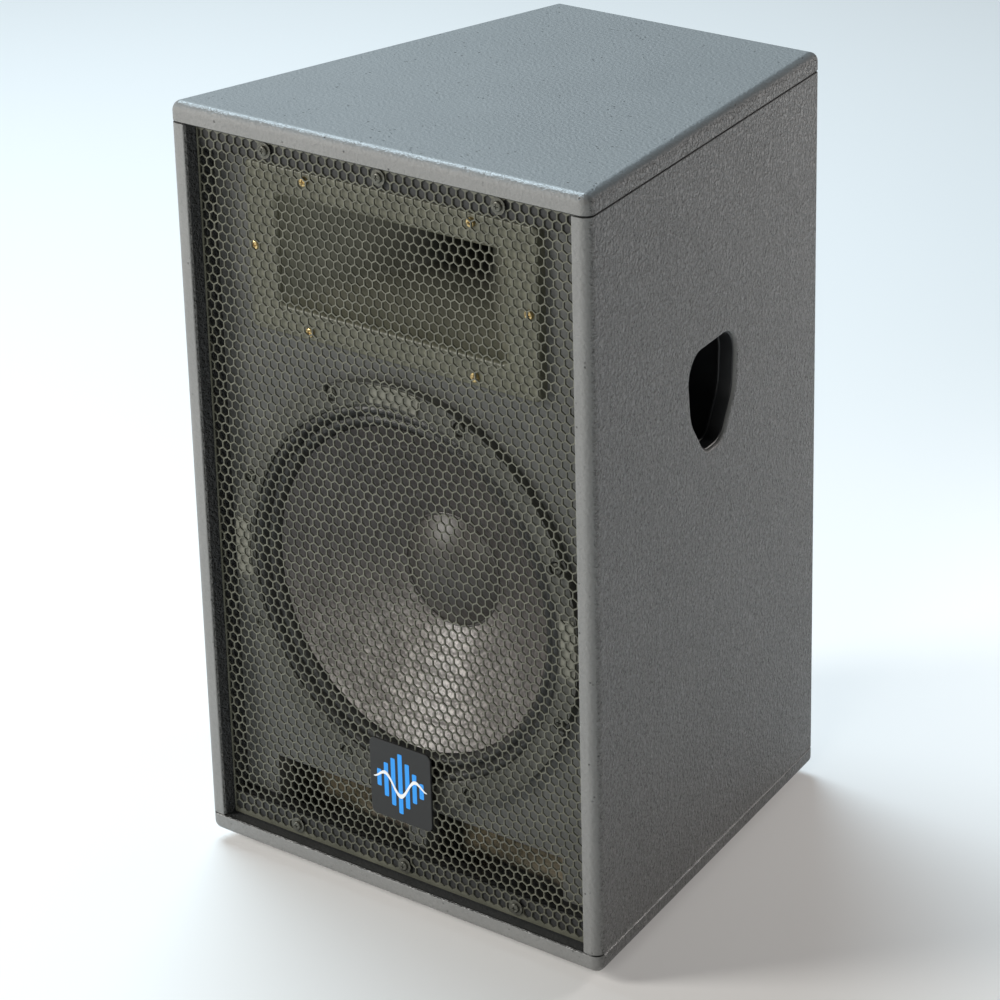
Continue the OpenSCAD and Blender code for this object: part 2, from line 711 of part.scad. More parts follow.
module input_lead() color(black) lead(input_route);

module woofer_lead() color("firebrick") lead(woofer_route);

module horn_lead() color("seagreen") lead(horn_route);

top_panel();
bottom_panel();
left_side_panel();
right_side_panel();
back_panel();
front_baffle();
upper_grille_batten();
lower_grille_batten();
port_shelf();
port_divider();
port_side_walls();
cross_brace();
grille();
grille_screws();
badge();
left_handle_cup();
right_handle_cup();
handle_screws();
rubber_feet();
foot_screws();
pole_socket();
pole_socket_screws();
connector_dish();
dish_screws();
input_socket();
link_socket();
socket_screws();
woofer_basket();
woofer_gasket();
woofer_surround();
woofer_cone();
woofer_dust_cap();
woofer_voice_coil();
woofer_spider();
woofer_top_plate();
woofer_magnet();
woofer_yoke();
woofer_terminals();
woofer_screws();
horn();
horn_screws();
hf_yoke();
hf_magnet();
hf_top_plate();
hf_phase_plug();
hf_diaphragm();
hf_rear_cover();
hf_terminals();
hf_cover_screws();
hf_mount_bolts();
crossover_board();
crossover_standoffs();
crossover_coils();
crossover_capacitors();
crossover_resistors();
input_lead();
woofer_lead();
horn_lead();
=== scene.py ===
"""Looks of a two-way public-address loudspeaker cabinet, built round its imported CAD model."""
import json
import math

import bmesh
import bpy
from mathutils import Matrix, Vector

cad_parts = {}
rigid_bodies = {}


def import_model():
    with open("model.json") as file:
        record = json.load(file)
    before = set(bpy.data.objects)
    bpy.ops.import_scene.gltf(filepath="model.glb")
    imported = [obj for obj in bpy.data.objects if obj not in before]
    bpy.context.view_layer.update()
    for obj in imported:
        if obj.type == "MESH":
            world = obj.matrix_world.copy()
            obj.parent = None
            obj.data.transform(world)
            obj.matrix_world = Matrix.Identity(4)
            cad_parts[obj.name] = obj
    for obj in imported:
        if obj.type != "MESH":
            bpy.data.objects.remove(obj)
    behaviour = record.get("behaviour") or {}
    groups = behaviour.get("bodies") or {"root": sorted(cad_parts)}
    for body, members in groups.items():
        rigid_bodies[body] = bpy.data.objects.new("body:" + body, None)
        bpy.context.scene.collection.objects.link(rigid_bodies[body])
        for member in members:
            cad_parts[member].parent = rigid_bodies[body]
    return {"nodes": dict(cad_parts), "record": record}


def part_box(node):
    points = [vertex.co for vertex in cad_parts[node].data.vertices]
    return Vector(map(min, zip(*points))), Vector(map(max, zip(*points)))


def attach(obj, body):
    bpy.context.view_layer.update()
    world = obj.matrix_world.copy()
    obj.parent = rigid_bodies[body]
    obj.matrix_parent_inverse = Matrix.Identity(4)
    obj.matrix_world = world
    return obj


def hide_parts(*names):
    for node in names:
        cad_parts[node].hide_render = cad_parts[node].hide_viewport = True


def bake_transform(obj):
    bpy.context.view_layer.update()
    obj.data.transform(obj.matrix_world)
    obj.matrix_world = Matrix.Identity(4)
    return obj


for leftover in list(bpy.data.objects):
    bpy.data.objects.remove(leftover)
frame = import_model()
bpy.context.view_layer.update()

MM = 0.001
CABINET = "cabinet"
CONE_BODY = "woofer_cone_assembly"
ARC_STEPS = 8


# ---------- sizes, in millimetres ----------

def box(node):
    """A CAD node's lowest and highest corners at rest."""
    low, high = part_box(node)
    return low / MM, high / MM


def middle(node, axis):
    """The middle of a CAD node's box along one axis."""
    return sum(getattr(corner, axis) for corner in box(node)) / 2


CAB_W = 456
CAB_BACK_W = 290
EDGE_R = 9
BACK_EDGE_R = 4
INNER_EDGE_R = 1.5
SEAM = 1.1
PAINTED_DEPTH = 92

top_low, top_high = box("top_panel")
side_low, side_high = box("right_side_panel")
FRONT_Y = top_low.y
CAB_D = top_high.y - top_low.y
FLOOR_Z = side_low.z
CEILING_Z = side_high.z
PLY = top_high.z - CEILING_Z
BOX_Z = box("rubber_feet")[1].z
SLOPE = (CAB_W - CAB_BACK_W) / 2 / CAB_D
SIDE_ANGLE = math.atan(SLOPE)
SIDE_T = PLY / math.cos(SIDE_ANGLE)
BAFFLE_Y = box("front_baffle")[0].y
WOOFER_Z = middle("woofer_basket", "z")
HORN_Z = middle("horn", "z")
FLANGE_T = 10
NECK_DEPTH = 90
HORN_DEPTH = 128
PLATE_T = 3
HANDLE_S = 227
HANDLE_Z = 467
DISH_Z = middle("connector_dish", "z")
DISH_DEPTH = 16
DISH_FLANGE = 2.5
DISH_WALL = 2.5
POLE_Y = middle("pole_socket", "y")


def half_w(depth):
    """Half the cabinet's width at a depth behind its front edges."""
    return CAB_W / 2 - SLOPE * depth


def inner_half_w(depth):
    return half_w(depth) - SIDE_T


# ---------- outlines ----------

def corner_arc(before, point, after, radius, steps):
    """Points that round one corner of an outline."""
    if radius < 0.05:
        return [point]
    u = (before - point).normalized()
    v = (after - point).normalized()
    half = math.acos(max(-1, min(1, u.dot(v)))) / 2
    centre = point + (u + v).normalized() * radius / math.sin(half)
    start = point + u * radius / math.tan(half) - centre
    end = point + v * radius / math.tan(half) - centre
    first = math.atan2(start.y, start.x)
    turn = math.remainder(math.atan2(end.y, end.x) - first, 2 * math.pi)
    angles = [first + turn * i / steps for i in range(steps + 1)]
    return [centre + radius * Vector((math.cos(a), math.sin(a))) for a in angles]


def rounded(points, radii, steps=ARC_STEPS):
    """A closed outline with each corner rounded by its own radius."""
    points = [Vector(p) for p in points]
    outline = []
    for i, radius in enumerate(radii):
        outline += corner_arc(points[i - 1], points[i], points[(i + 1) % len(points)], radius, steps)
    return outline


def rounded_rect(w, h, r, steps=ARC_STEPS):
    corners = [(-w / 2, -h / 2), (w / 2, -h / 2), (w / 2, h / 2), (-w / 2, h / 2)]
    return rounded(corners, [r] * 4, steps)


def grow(points, gap):
    """A convex anticlockwise outline with each of its sides moved out by gap."""
    points = [Vector(p) for p in points]
    sides = []
    for a, b in zip(points, points[1:] + points[:1]):
        along = (b - a).normalized()
        sides.append((a + gap * Vector((along.y, -along.x)), along))
    grown = []
    for i, (b, along_b) in enumerate(sides):
        a, along_a = sides[i - 1]
        t = (b - a).cross(along_b) / along_a.cross(along_b)
        grown.append(a + along_a * t)
    return grown


def at(outline, height):
    """A flat outline as a ring at one height."""
    return [Vector((p[0], p[1], height)) for p in outline]


def quarter(steps):
    """(inwards, upwards) shares of a quarter round, from its foot to its top."""
    angles = [math.pi / 2 * i / steps for i in range(steps + 1)]
    return [(1 - math.cos(a), math.sin(a)) for a in angles]


def circle(radius, points=64):
    return [Vector((radius * math.cos(2 * math.pi * i / points),
                    radius * math.sin(2 * math.pi * i / points))) for i in range(points)]


# ---------- mesh building ----------

def walls(bm, rings, wrap=False):
    """Joins rings of equally many points, and returns them as rings of vertices."""
    made = [[bm.verts.new(p) for p in ring] for ring in rings]
    upper = made[1:] + made[:1] if wrap else made[1:]
    for low, high in zip(made, upper):
        for i in range(len(low)):
            j = (i + 1) % len(low)
            bm.faces.new((low[i], low[j], high[j], high[i]))
    return made


def loop_edges(bm, loop):
    pairs = zip(loop, loop[1:] + loop[:1])
    return [bm.edges.get(pair) or bm.edges.new(pair) for pair in pairs]


def cap(bm, *loops):
    """Closes a flat loop of vertices, and leaves the loops inside it open."""
    if len(loops) == 1:
        bm.faces.new(loops[0])
        return
    edges = [edge for loop in loops for edge in loop_edges(bm, loop)]
    bmesh.ops.triangle_fill(bm, use_beauty=True, edges=edges)


def solid(bm, rings):
    """A closed solid from a stack of rings, which it returns as rings of vertices."""
    made = walls(bm, rings)
    cap(bm, made[0])
    cap(bm, made[-1])
    return made


def plate(bm, stacks):
    """A solid whose first stack of rings is its outside and whose others are holes."""
    made = [walls(bm, rings) for rings in stacks]
    cap(bm, *[rings[0] for rings in made])
    cap(bm, *[rings[-1] for rings in made])


def lathe(bm, profile, segments=96, start=0.0, sweep=360.0):
    """A closed profile of (radius, height) turned about z, with flat ends if it isn't a whole turn."""
    whole = sweep > 359.9
    turns = [math.radians(start + sweep * i / segments) for i in range(segments + (not whole))]
    rings = [[Vector((r * math.cos(a), r * math.sin(a), h)) for r, h in profile] for a in turns]
    made = walls(bm, rings, wrap=whole)
    if not whole:
        cap(bm, made[0])
        cap(bm, made[-1])


def turned(points, radii, steps):
    """A lathe profile of (radius, height) with rounded corners."""
    return [(p.x, p.y) for p in rounded(points, radii, steps)]


def block(bm, low, high, radius):
    """A block with all its edges rounded over."""
    low, high = Vector(low), Vector(high)
    size, centre = high - low, (low + high) / 2
    stack = []
    for shrink, rise in [(-radius * s, radius * (1 - u)) for s, u in reversed(quarter(3))]:
        outline = rounded_rect(size.x + 2 * shrink, size.y + 2 * shrink,
                               max(radius + shrink, 0.06) + 0.2, 3)
        stack.append([(p.x + centre.x, p.y + centre.y, low.z + rise) for p in outline])
    top = [[(x, y, low.z + high.z - z) for x, y, z in ring] for ring in reversed(stack)]
    solid(bm, stack + top)


def upright(x, y, z):
    """A place whose z axis points out of the front and whose y axis points up."""
    return Matrix.Translation((x, y, z)) @ Matrix.Rotation(math.pi / 2, 4, "X")


def on_back(x, z):
    return Matrix.Translation((x, -FRONT_Y, z)) @ Matrix.Rotation(-math.pi / 2, 4, "X")


def on_side():
    """The right side panel's place: x runs to the back, y up and z out of the box."""
    return (Matrix.Translation((CAB_W / 2, FRONT_Y, 0)) @ Matrix.Rotation(SIDE_ANGLE, 4, "Z")
            @ Matrix.Rotation(math.pi / 2, 4, "Z") @ Matrix.Rotation(math.pi / 2, 4, "X"))


MIRROR = Matrix.Scale(-1, 4, (1, 0, 0))
HERE = Matrix.Identity(4)
WOOFER = upright(0, BAFFLE_Y, WOOFER_Z)
HORN = upright(0, BAFFLE_Y, HORN_Z)


def add_object(name, data):
    obj = bpy.data.objects.new(name, data)
    bpy.context.scene.collection.objects.link(obj)
    return obj


def piece(name, bm, slot, nodes, place=HERE, body=CABINET, sharp=35, finish=None):
    """Finishes a mesh in millimetres as a named piece that rides on a body.

    It has its slot's own material, unless finish names another one.
    """
    bmesh.ops.remove_doubles(bm, verts=bm.verts, dist=0.0005)
    bmesh.ops.delete(bm, geom=[e for e in bm.edges if not e.link_faces], context="EDGES")
    bmesh.ops.transform(bm, matrix=Matrix.Scale(MM, 4) @ place, verts=bm.verts)
    bmesh.ops.recalc_face_normals(bm, faces=bm.faces)
    mesh = bpy.data.meshes.new(name)
    bm.to_mesh(mesh)
    bm.free()
    mesh.shade_smooth()
    mesh.set_sharp_from_angle(angle=math.radians(sharp))
    mesh.materials.append(MATERIALS[finish or slot])
    obj = add_object(name, mesh)
    obj.modifiers.new("even_normals", "WEIGHTED_NORMAL").keep_sharp = True
    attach(obj, body)
    if nodes:
        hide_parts(*nodes)
    return obj


def add(bm, other, place=HERE):
    """Moves everything in another mesh under construction into bm, at a place."""
    bmesh.ops.transform(other, matrix=place, verts=other.verts)
    mesh = bpy.data.meshes.new("part")
    other.to_mesh(mesh)
    other.free()
    bm.from_mesh(mesh)
    bpy.data.meshes.remove(mesh)


def lathed(name, slot, nodes, place, profiles, segments=96, body=CABINET):
    """A piece turned from closed profiles."""
    bm = bmesh.new()
    for profile in profiles:
        lathe(bm, profile, segments)
    piece(name, bm, slot, nodes, place, body)


def ring_profile(inner, outer, low, high, radii):
    """A lathe profile for a flat ring; radii round its corners from the inner low one onwards."""
    return turned([(inner, low), (outer, low), (outer, high), (inner, high)], radii, 3)


def solids(node):
    """The boxes of a CAD node's separate solids, in millimetres, from low to high."""
    bm = bmesh.new()
    bm.from_mesh(frame["nodes"][node].data)
    bmesh.ops.remove_doubles(bm, verts=bm.verts, dist=1e-6)
    boxes = []
    for seed in bm.verts:
        if seed.tag:
            continue
        seed.tag = True
        found = [seed]
        for vertex in found:
            for edge in vertex.link_edges:
                other = edge.other_vert(vertex)
                if not other.tag:
                    other.tag = True
                    found.append(other)
        spread = [sorted(v.co[axis] / MM for v in found) for axis in range(3)]
        boxes.append((Vector(s[0] for s in spread), Vector(s[-1] for s in spread)))
    bm.free()
    return sorted(boxes, key=lambda pair: tuple(round(c, 1) for c in pair[0]))


# ---------- node materials ----------

class Look:
    """One procedural material. Its texture coordinates are the object's own, in metres."""

    def __init__(self, slot, roughness, metallic=0.0, **sockets):
        self.material = bpy.data.materials.new(slot + "_finish")
        self.material.use_nodes = True
        self.tree = self.material.node_tree
        self.shader = self.tree.nodes["Principled BSDF"]
        self.shader.inputs["Roughness"].default_value = roughness
        self.shader.inputs["Metallic"].default_value = metallic
        for name, value in sockets.items():
            self.shader.inputs[name.replace("_", " ")].default_value = value
        self.where = self.node("ShaderNodeTexCoord").outputs["Object"]
        self.normal = None

    def node(self, kind, **values):
        made = self.tree.nodes.new(kind)
        for name, value in values.items():
            setattr(made, name, value)
        return made

    def set(self, socket, value):
        """Links an output to a socket, or gives the socket a constant."""
        if isinstance(value, bpy.types.NodeSocket):
            self.tree.links.new(value, socket)
        else:
            socket.default_value = value

    def stretched(self, x, y, z):
        mapping = self.node("ShaderNodeMapping")
        self.set(mapping.inputs["Vector"], self.where)
        mapping.inputs["Scale"].default_value = (x, y, z)
        return mapping.outputs["Vector"]

    def noise(self, scale, detail=3.0, roughness=0.5, where=None, distortion=0.0):
        made = self.node("ShaderNodeTexNoise")
        self.set(made.inputs["Vector"], where or self.where)
        for name, value in zip(("Scale", "Detail", "Roughness", "Distortion"),
                               (scale, detail, roughness, distortion)):
            made.inputs[name].default_value = value
        return made.outputs["Fac"]

    def cells(self, scale):
        made = self.node("ShaderNodeTexVoronoi")
        self.set(made.inputs["Vector"], self.where)
        made.inputs["Scale"].default_value = scale
        return made.outputs["Distance"]

    def axis(self, name, where=None):
        made = self.node("ShaderNodeSeparateXYZ")
        self.set(made.inputs[0], where or self.where)
        return made.outputs[name]

    def math(self, operation, a, b=0.0, c=0.0):
        made = self.node("ShaderNodeMath", operation=operation)
        for socket, value in zip(made.inputs, (a, b, c)):
            self.set(socket, value)
        return made.outputs[0]

    def product(self, first, *others):
        for value in others:
            first = self.math("MULTIPLY", first, value)
        return first

    def between(self, value, low, high, out_low=0.0, out_high=1.0):
        """value, from low to high, spread over out_low to out_high and held there."""
        made = self.node("ShaderNodeMapRange")
        for name, given in zip(("Value", "From Min", "From Max", "To Min", "To Max"),
                               (value, low, high, out_low, out_high)):
            self.set(made.inputs[name], given)
        return made.outputs[0]

    def blend(self, share, a, b):
        """A colour between a and b."""
        made = self.node("ShaderNodeMix", data_type="RGBA")
        self.set(made.inputs["Factor"], share)
        for socket, colour in zip([s for s in made.inputs if s.type == "RGBA"], (a, b)):
            self.set(socket, (*colour, 1) if isinstance(colour, tuple) else colour)
        return next(s for s in made.outputs if s.type == "RGBA")

    def colour(self, value, *ends):
        """Colours the surface by value, or where two ends are given, by how far it is between them."""
        self.set(self.shader.inputs["Base Color"], self.blend(value, *ends) if ends else value)

    def rough(self, value, low, high):
        """Roughness that follows a texture between low and high."""
        self.set(self.shader.inputs["Roughness"], self.between(value, 0.3, 0.7, low, high))

    def bump(self, height, distance, strength=1.0):
        """Adds relief: distance is how deep a height of 1 is, in metres."""
        made = self.node("ShaderNodeBump")
        made.inputs["Strength"].default_value = strength
        made.inputs["Distance"].default_value = distance
        self.set(made.inputs["Height"], height)
        if self.normal:
            self.set(made.inputs["Normal"], self.normal)
        self.normal = made.outputs["Normal"]
        self.set(self.shader.inputs["Normal"], self.normal)


def shade(colour, factor):
    return tuple(min(1, c * factor) for c in colour)


def structured_paint():
    """Grey cabinet paint: rough on the faces that look sideways, smooth on the others.

    Its relief is partly painted: painted shade in its low spots, dips and small craters, and painted
    highlights on its high spots, most strongly on the faces that look sideways; the seam grooves get a
    near-black line of painted shade.
    The box's inside is near black in front and bare wood behind that.
    """
    look = Look("textured_paint", 0.55)
    grey = (0.212, 0.212, 0.209)
    normal = look.node("ShaderNodeNewGeometry").outputs["Normal"]
    facing_side = look.math("ABSOLUTE", look.axis("X", normal))
    tilt = look.math("ABSOLUTE", look.axis("Z", normal))
    rounding = look.product(look.between(tilt, 0.5, 0.7), look.between(tilt, 0.95, 0.99, 1.0, 0.0))
    relief = look.between(facing_side, 0.8, 0.97, 0.14, 1.0)
    lumps = look.between(look.noise(300, 3.0, 0.55), 0.40, 0.60)
    swells = look.noise(130, 2.0, 0.5)
    grain = look.noise(1100, 2.0)
    patches = look.noise(9, 4.0, 0.6)
    # Masks for painted shade in the relief's dips and small craters and painted highlights on its high
    # spots
    dent_shade = look.product(look.between(look.noise(400, 1.0), 0.41, 0.33), relief)
    high_spots = look.noise(390, 1.0, 0.5, look.stretched(1, 1.3, 1))
    crest_highlights = look.product(look.between(high_spots, 0.62, 0.70), relief)
    pits_painted_dark = look.between(look.cells(150), 0.06, 0.2, 1.0, 0.0)
    pits_painted_dark = look.product(pits_painted_dark, look.between(look.noise(60, 1.0), 0.56, 0.62))
    paint = look.blend(look.between(patches, 0.3, 0.7), shade(grey, 0.95), shade(grey, 1.05))
    # Painted shade in the lumps' low spots, dips and small craters, and painted highlights on the high
    # spots, in place of the relief's own light and shade
    hollow_shade = look.product(look.between(lumps, 0.0, 1.0, 0.36, 0.0), relief)
    paint = look.blend(hollow_shade, paint, shade(grey, 0.45))
    paint = look.blend(crest_highlights, paint, shade(grey, 1.3))
    paint = look.blend(look.product(dent_shade, 0.5), paint, shade(grey, 0.12))
    paint = look.blend(look.product(pits_painted_dark, 0.85), paint, shade(grey, 0.25))
    # Painted shade: a near-black line in the seam grooves
    paint = look.blend(painted_seam_shade(look), paint, shade(grey, 0.08))
    look.colour(inside_box(look), paint, inner_wood(look))
    look.set(look.shader.inputs["Roughness"], look.between(rounding, 0.0, 1.0, 0.57, 0.3))
    look.bump(look.product(lumps, relief), 0.0015)
    look.bump(look.product(swells, relief), 0.0012)
    look.bump(grain, 0.00010, 0.5)
    look.bump(pits_painted_dark, -0.0006)
    return look.material


def painted_seam_shade(look):
    """1 in the grooves where the top and bottom boards meet the sides, which get a near-black line of
    painted shade.
    """
    half_gap = 0.8
    height = look.axis("Z")
    near = [look.math("LESS_THAN", look.math("ABSOLUTE", look.math("SUBTRACT", height, z * MM)),
                      half_gap * MM) for z in (CEILING_Z, FLOOR_Z)]
    return look.math("MAXIMUM", *near)


def inside_box(look):
    """1 on the faces that look into the cabinet's hollow, and 0 on its outside."""
    edge = 0.5
    depth = look.math("SUBTRACT", look.axis("Y"), FRONT_Y * MM)
    across = look.math("ADD", look.math("ABSOLUTE", look.axis("X")), look.product(depth, SLOPE))
    between_sides = look.math("LESS_THAN", across, (CAB_W / 2 - SIDE_T + edge) * MM)
    over_floor = look.math("GREATER_THAN", look.axis("Z"), (FLOOR_Z - edge) * MM)
    under_top = look.math("LESS_THAN", look.axis("Z"), (CEILING_Z + edge) * MM)
    behind_edge = look.math("GREATER_THAN", depth, 3 * MM)
    before_back = look.math("LESS_THAN", depth, (box("back_panel")[0].y - FRONT_Y + edge) * MM)
    return look.product(between_sides, over_floor, under_top, behind_edge, before_back)


def inner_wood(look):
    """Near-black paint on the front of the hollow that ends raggedly, and bare plywood behind it."""
    ragged = look.math("MULTIPLY_ADD", look.noise(35, 3.0), 0.02, look.axis("Y"))
    bare_from = (FRONT_Y + PAINTED_DEPTH) * MM
    bare = look.between(ragged, bare_from, bare_from + 0.014)
    fibres = look.noise(90, 4.0, 0.6, look.stretched(14, 1, 14))
    wood = look.blend(fibres, (0.66, 0.56, 0.42), (0.82, 0.74, 0.58))
    dust = look.noise(24, 3.0)
    return look.blend(bare, look.blend(dust, (0.022, 0.023, 0.024), (0.04, 0.041, 0.042)), wood)


def baffle_paint():
    """Thin dark paint on plywood, with the grain just showing."""
    look = Look("baffle_paint", 0.55)
    grain = look.noise(70, 5.0, 0.65, look.stretched(1, 1, 14))
    dust = look.noise(16, 3.0)
    look.colour(dust, (0.088, 0.089, 0.085), (0.13, 0.131, 0.126))
    look.rough(dust, 0.42, 0.6)
    look.bump(grain, 0.00035, 0.7)
    look.bump(look.noise(420, 2.0), 0.0002, 0.6)
    return look.material


def duct_wood():
    """The port ducts' boards, painted where they show."""
    look = Look("duct_wood", 0.6)
    look.colour(inner_wood(look))
    grain = look.noise(60, 5.0, 0.6, look.stretched(12, 1, 12))
    look.rough(grain, 0.5, 0.7)
    look.bump(grain, 0.0003, 0.6)
    return look.material


def plywood():
    """Bare birch plywood: long fibres on the faces and stripes of glued layers on the edges."""
    look = Look("raw_wood", 0.62)
    fibres = look.noise(60, 5.0, 0.6, look.stretched(1, 12, 12), 0.4)
    layers = look.math("SINE", look.product(look.axis("Z"), 2 * math.pi / 0.0026))
    face = look.blend(fibres, (0.48, 0.33, 0.19), (0.70, 0.54, 0.36))
    face = look.blend(look.between(layers, 0.75, 0.95, 0.0, 0.25), face, (0.36, 0.23, 0.12))
    look.colour(face)
    look.rough(fibres, 0.5, 0.72)
    look.bump(fibres, 0.0003, 0.6)
    return look.material


def grille_coat():
    """Dark olive powder coat on steel, worn a little shiny."""
    look = Look("grille_steel", 0.42, 0.25)
    dust = look.noise(40, 4.0, 0.6)
    look.colour(look.between(dust, 0.3, 0.7), (0.085, 0.085, 0.064), (0.135, 0.134, 0.103))
    look.rough(look.noise(300, 3.0), 0.34, 0.52)
    look.bump(look.noise(1500, 2.0), 0.00006, 0.6)
    return look.material


def moulded(slot, colour, low, high, grain=1400, relief=0.00006):
    """Moulded plastic, rubber or stoved paint with a fine grain and handling marks."""
    look = Look(slot, (low + high) / 2)
    marks = look.noise(26, 4.0, 0.65)
    look.colour(look.between(marks, 0.3, 0.7), shade(colour, 0.85), shade(colour, 1.2))
    look.rough(marks, low, high)
    look.bump(look.noise(grain, 2.0), relief, 0.7)
    look.bump(look.noise(70, 2.0), 0.00015, 0.3)
    return look.material


def horn_plastic():
    """The horn's moulded plastic: its own colour at the flange, a lighter copy on the walls inside as
    painted light, and painted shade that darkens it to near black down in the neck.
    """
    look = Look("horn_plastic", 0.4)
    marks = look.noise(26, 4.0, 0.65)
    front = (BAFFLE_Y - FLANGE_T) * MM
    neck = (BAFFLE_Y + NECK_DEPTH) * MM
    # Painted shade: 0 at the flange, 1 at the neck, where the colour goes near black
    deep = look.between(look.axis("Y"), front + 0.004, neck)
    marked = look.between(marks, 0.3, 0.7)
    flange = look.blend(marked, (0.122, 0.12, 0.086), (0.175, 0.172, 0.125))
    # A lighter copy of the plastic's colour on the walls inside the mouth, as painted light
    walls = look.blend(marked, (0.17, 0.168, 0.132), (0.24, 0.236, 0.188))
    flange_to_lit_walls = look.blend(look.between(look.axis("Y"), front + 0.002, front + 0.025), flange, walls)
    look.colour(look.math("POWER", deep, 2.0), flange_to_lit_walls, (0.014, 0.014, 0.011))
    look.rough(marks, 0.34, 0.5)
    look.bump(look.noise(1100, 2.0), 0.00008, 0.7)
    look.bump(look.noise(70, 2.0), 0.00015, 0.3)
    return look.material


def bright_metal(slot, colour, low, high, streaks=(1, 1, 40)):
    """Plated or machined metal with fine tool marks."""
    look = Look(slot, (low + high) / 2, 1.0)
    marks = look.noise(60, 4.0, 0.6, look.stretched(*streaks))
    bloom = look.noise(35, 4.0, 0.6)
    look.colour(look.between(bloom, 0.3, 0.7), shade(colour, 0.82), shade(colour, 1.12))
    look.rough(marks, low, high)
    look.bump(marks, 0.00005, 0.5)
    return look.material


def black_oxide():
    look = Look("black_screw", 0.35, 0.6)
    rub = look.between(look.noise(420, 4.0, 0.7), 0.5, 0.75)
    look.colour(rub, (0.085, 0.084, 0.07), (0.19, 0.185, 0.16))
    look.rough(rub, 0.34, 0.5)
    look.bump(look.noise(900, 2.0), 0.00005, 0.5)
    return look.material


def pulp(slot, colour, low, high, centre_z, dust_and_highlight, ribs=0.0):
    """Lacquered paper pulp: speckled fibres, pale specked dust on the front faces that look up, which
    is partly dust and partly a painted highlight, and rings round the axis.
    """
    look = Look(slot, low, Specular_Tint=(1, 0.9, 0.87, 1), Coat_Weight=1.0, Coat_Roughness=0.38)
    fibres = look.noise(420, 4.0, 0.7, distortion=1.2)
    blotches = look.noise(30, 4.0, 0.6)
    paper = look.blend(fibres, look.blend(blotches, shade(colour, 0.72), shade(colour, 0.9)),
                       look.blend(blotches, shade(colour, 1.12), shade(colour, 1.35)))
    normal = look.node("ShaderNodeNewGeometry").outputs["Normal"]
    # Pale specked dust on the front faces that look up: partly dust, partly a painted highlight on the
    # cone's lower half and the cap's top
    facing_up = look.product(look.between(look.axis("Z", normal), -0.15, 0.52, 0.0, dust_and_highlight),
                             look.between(blotches, 0.35, 0.6, 0.72, 1.0))
    facing_front = look.math("LESS_THAN", look.axis("Y", normal), 0.0)
    settled_dust_and_highlight = look.product(look.math("POWER", facing_up, 1.9), facing_front)
    specks = look.between(look.noise(260, 3.0, 0.6), 0.42, 0.62)
    dust = look.blend(specks, (0.22, 0.198, 0.19), (0.80, 0.74, 0.71))
    look.colour(settled_dust_and_highlight, paper, dust)
    look.rough(blotches, low, high)
    look.bump(fibres, 0.0006, 0.9)
    if ribs:
        across = look.math("POWER", look.axis("X"), 2.0)
        rise = look.math("POWER", look.math("SUBTRACT", look.axis("Z"), centre_z), 2.0)
        radius = look.math("SQRT", look.math("ADD", across, rise))
        waves = look.math("SINE", look.product(radius, 2 * math.pi / ribs))
        look.bump(waves, 0.00012, 0.5)
    return look.material


def woven(slot, colour, thread, roughness, coat=0.0):
    """Cloth stiffened with resin, its weave showing through the coat."""
    look = Look(slot, roughness, Coat_Weight=coat, Coat_Roughness=0.25)
    turn = 2 * math.pi / thread
    warp, weft = (look.math("SINE", look.product(look.axis(way), turn)) for way in "XZ")
    weave = look.math("MULTIPLY_ADD", look.product(warp, weft), 0.5, 0.5)
    stain = look.noise(45, 4.0, 0.6)
    look.colour(weave, shade(colour, 0.72), look.blend(stain, colour, shade(colour, 1.35)))
    look.rough(stain, roughness - 0.1, roughness + 0.1)
    look.bump(weave, 0.00012, 0.7)
    return look.material


def enamelled_wire():
    look = Look("copper_coil", 0.28, 0.9, Coat_Weight=0.4, Coat_Roughness=0.15)
    tint = look.noise(120, 3.0)
    look.colour(tint, (0.48, 0.20, 0.07), (0.78, 0.42, 0.20))
    look.rough(tint, 0.2, 0.36)
    look.bump(look.noise(800, 2.0), 0.00004, 0.4)
    return look.material


def circuit_board():
    """Green lacquer over copper tracks, which run in steps along the board."""
    look = Look("circuit_board", 0.3, Coat_Weight=0.5, Coat_Roughness=0.1)
    tracks = look.node("ShaderNodeTexBrick", offset=0.5)
    look.set(tracks.inputs["Vector"], look.where)
    tracks.inputs["Scale"].default_value = 60
    tracks.inputs["Mortar Size"].default_value = 0.012
    weave = look.noise(600, 2.0)
    green = look.blend(weave, (0.03, 0.15, 0.06), (0.05, 0.22, 0.09))
    look.colour(tracks.outputs["Fac"], green, (0.16, 0.36, 0.14))
    look.rough(weave, 0.24, 0.4)
    look.bump(tracks.outputs["Fac"], 0.00008, 0.6)
    return look.material


def printed(slot, colour):
    look = Look(slot, 0.4)
    tone = look.noise(90, 3.0)
    look.colour(tone, shade(colour, 0.9), shade(colour, 1.08))
    look.rough(tone, 0.34, 0.5)
    look.bump(look.noise(1200, 2.0), 0.00003, 0.4)
    return look.material


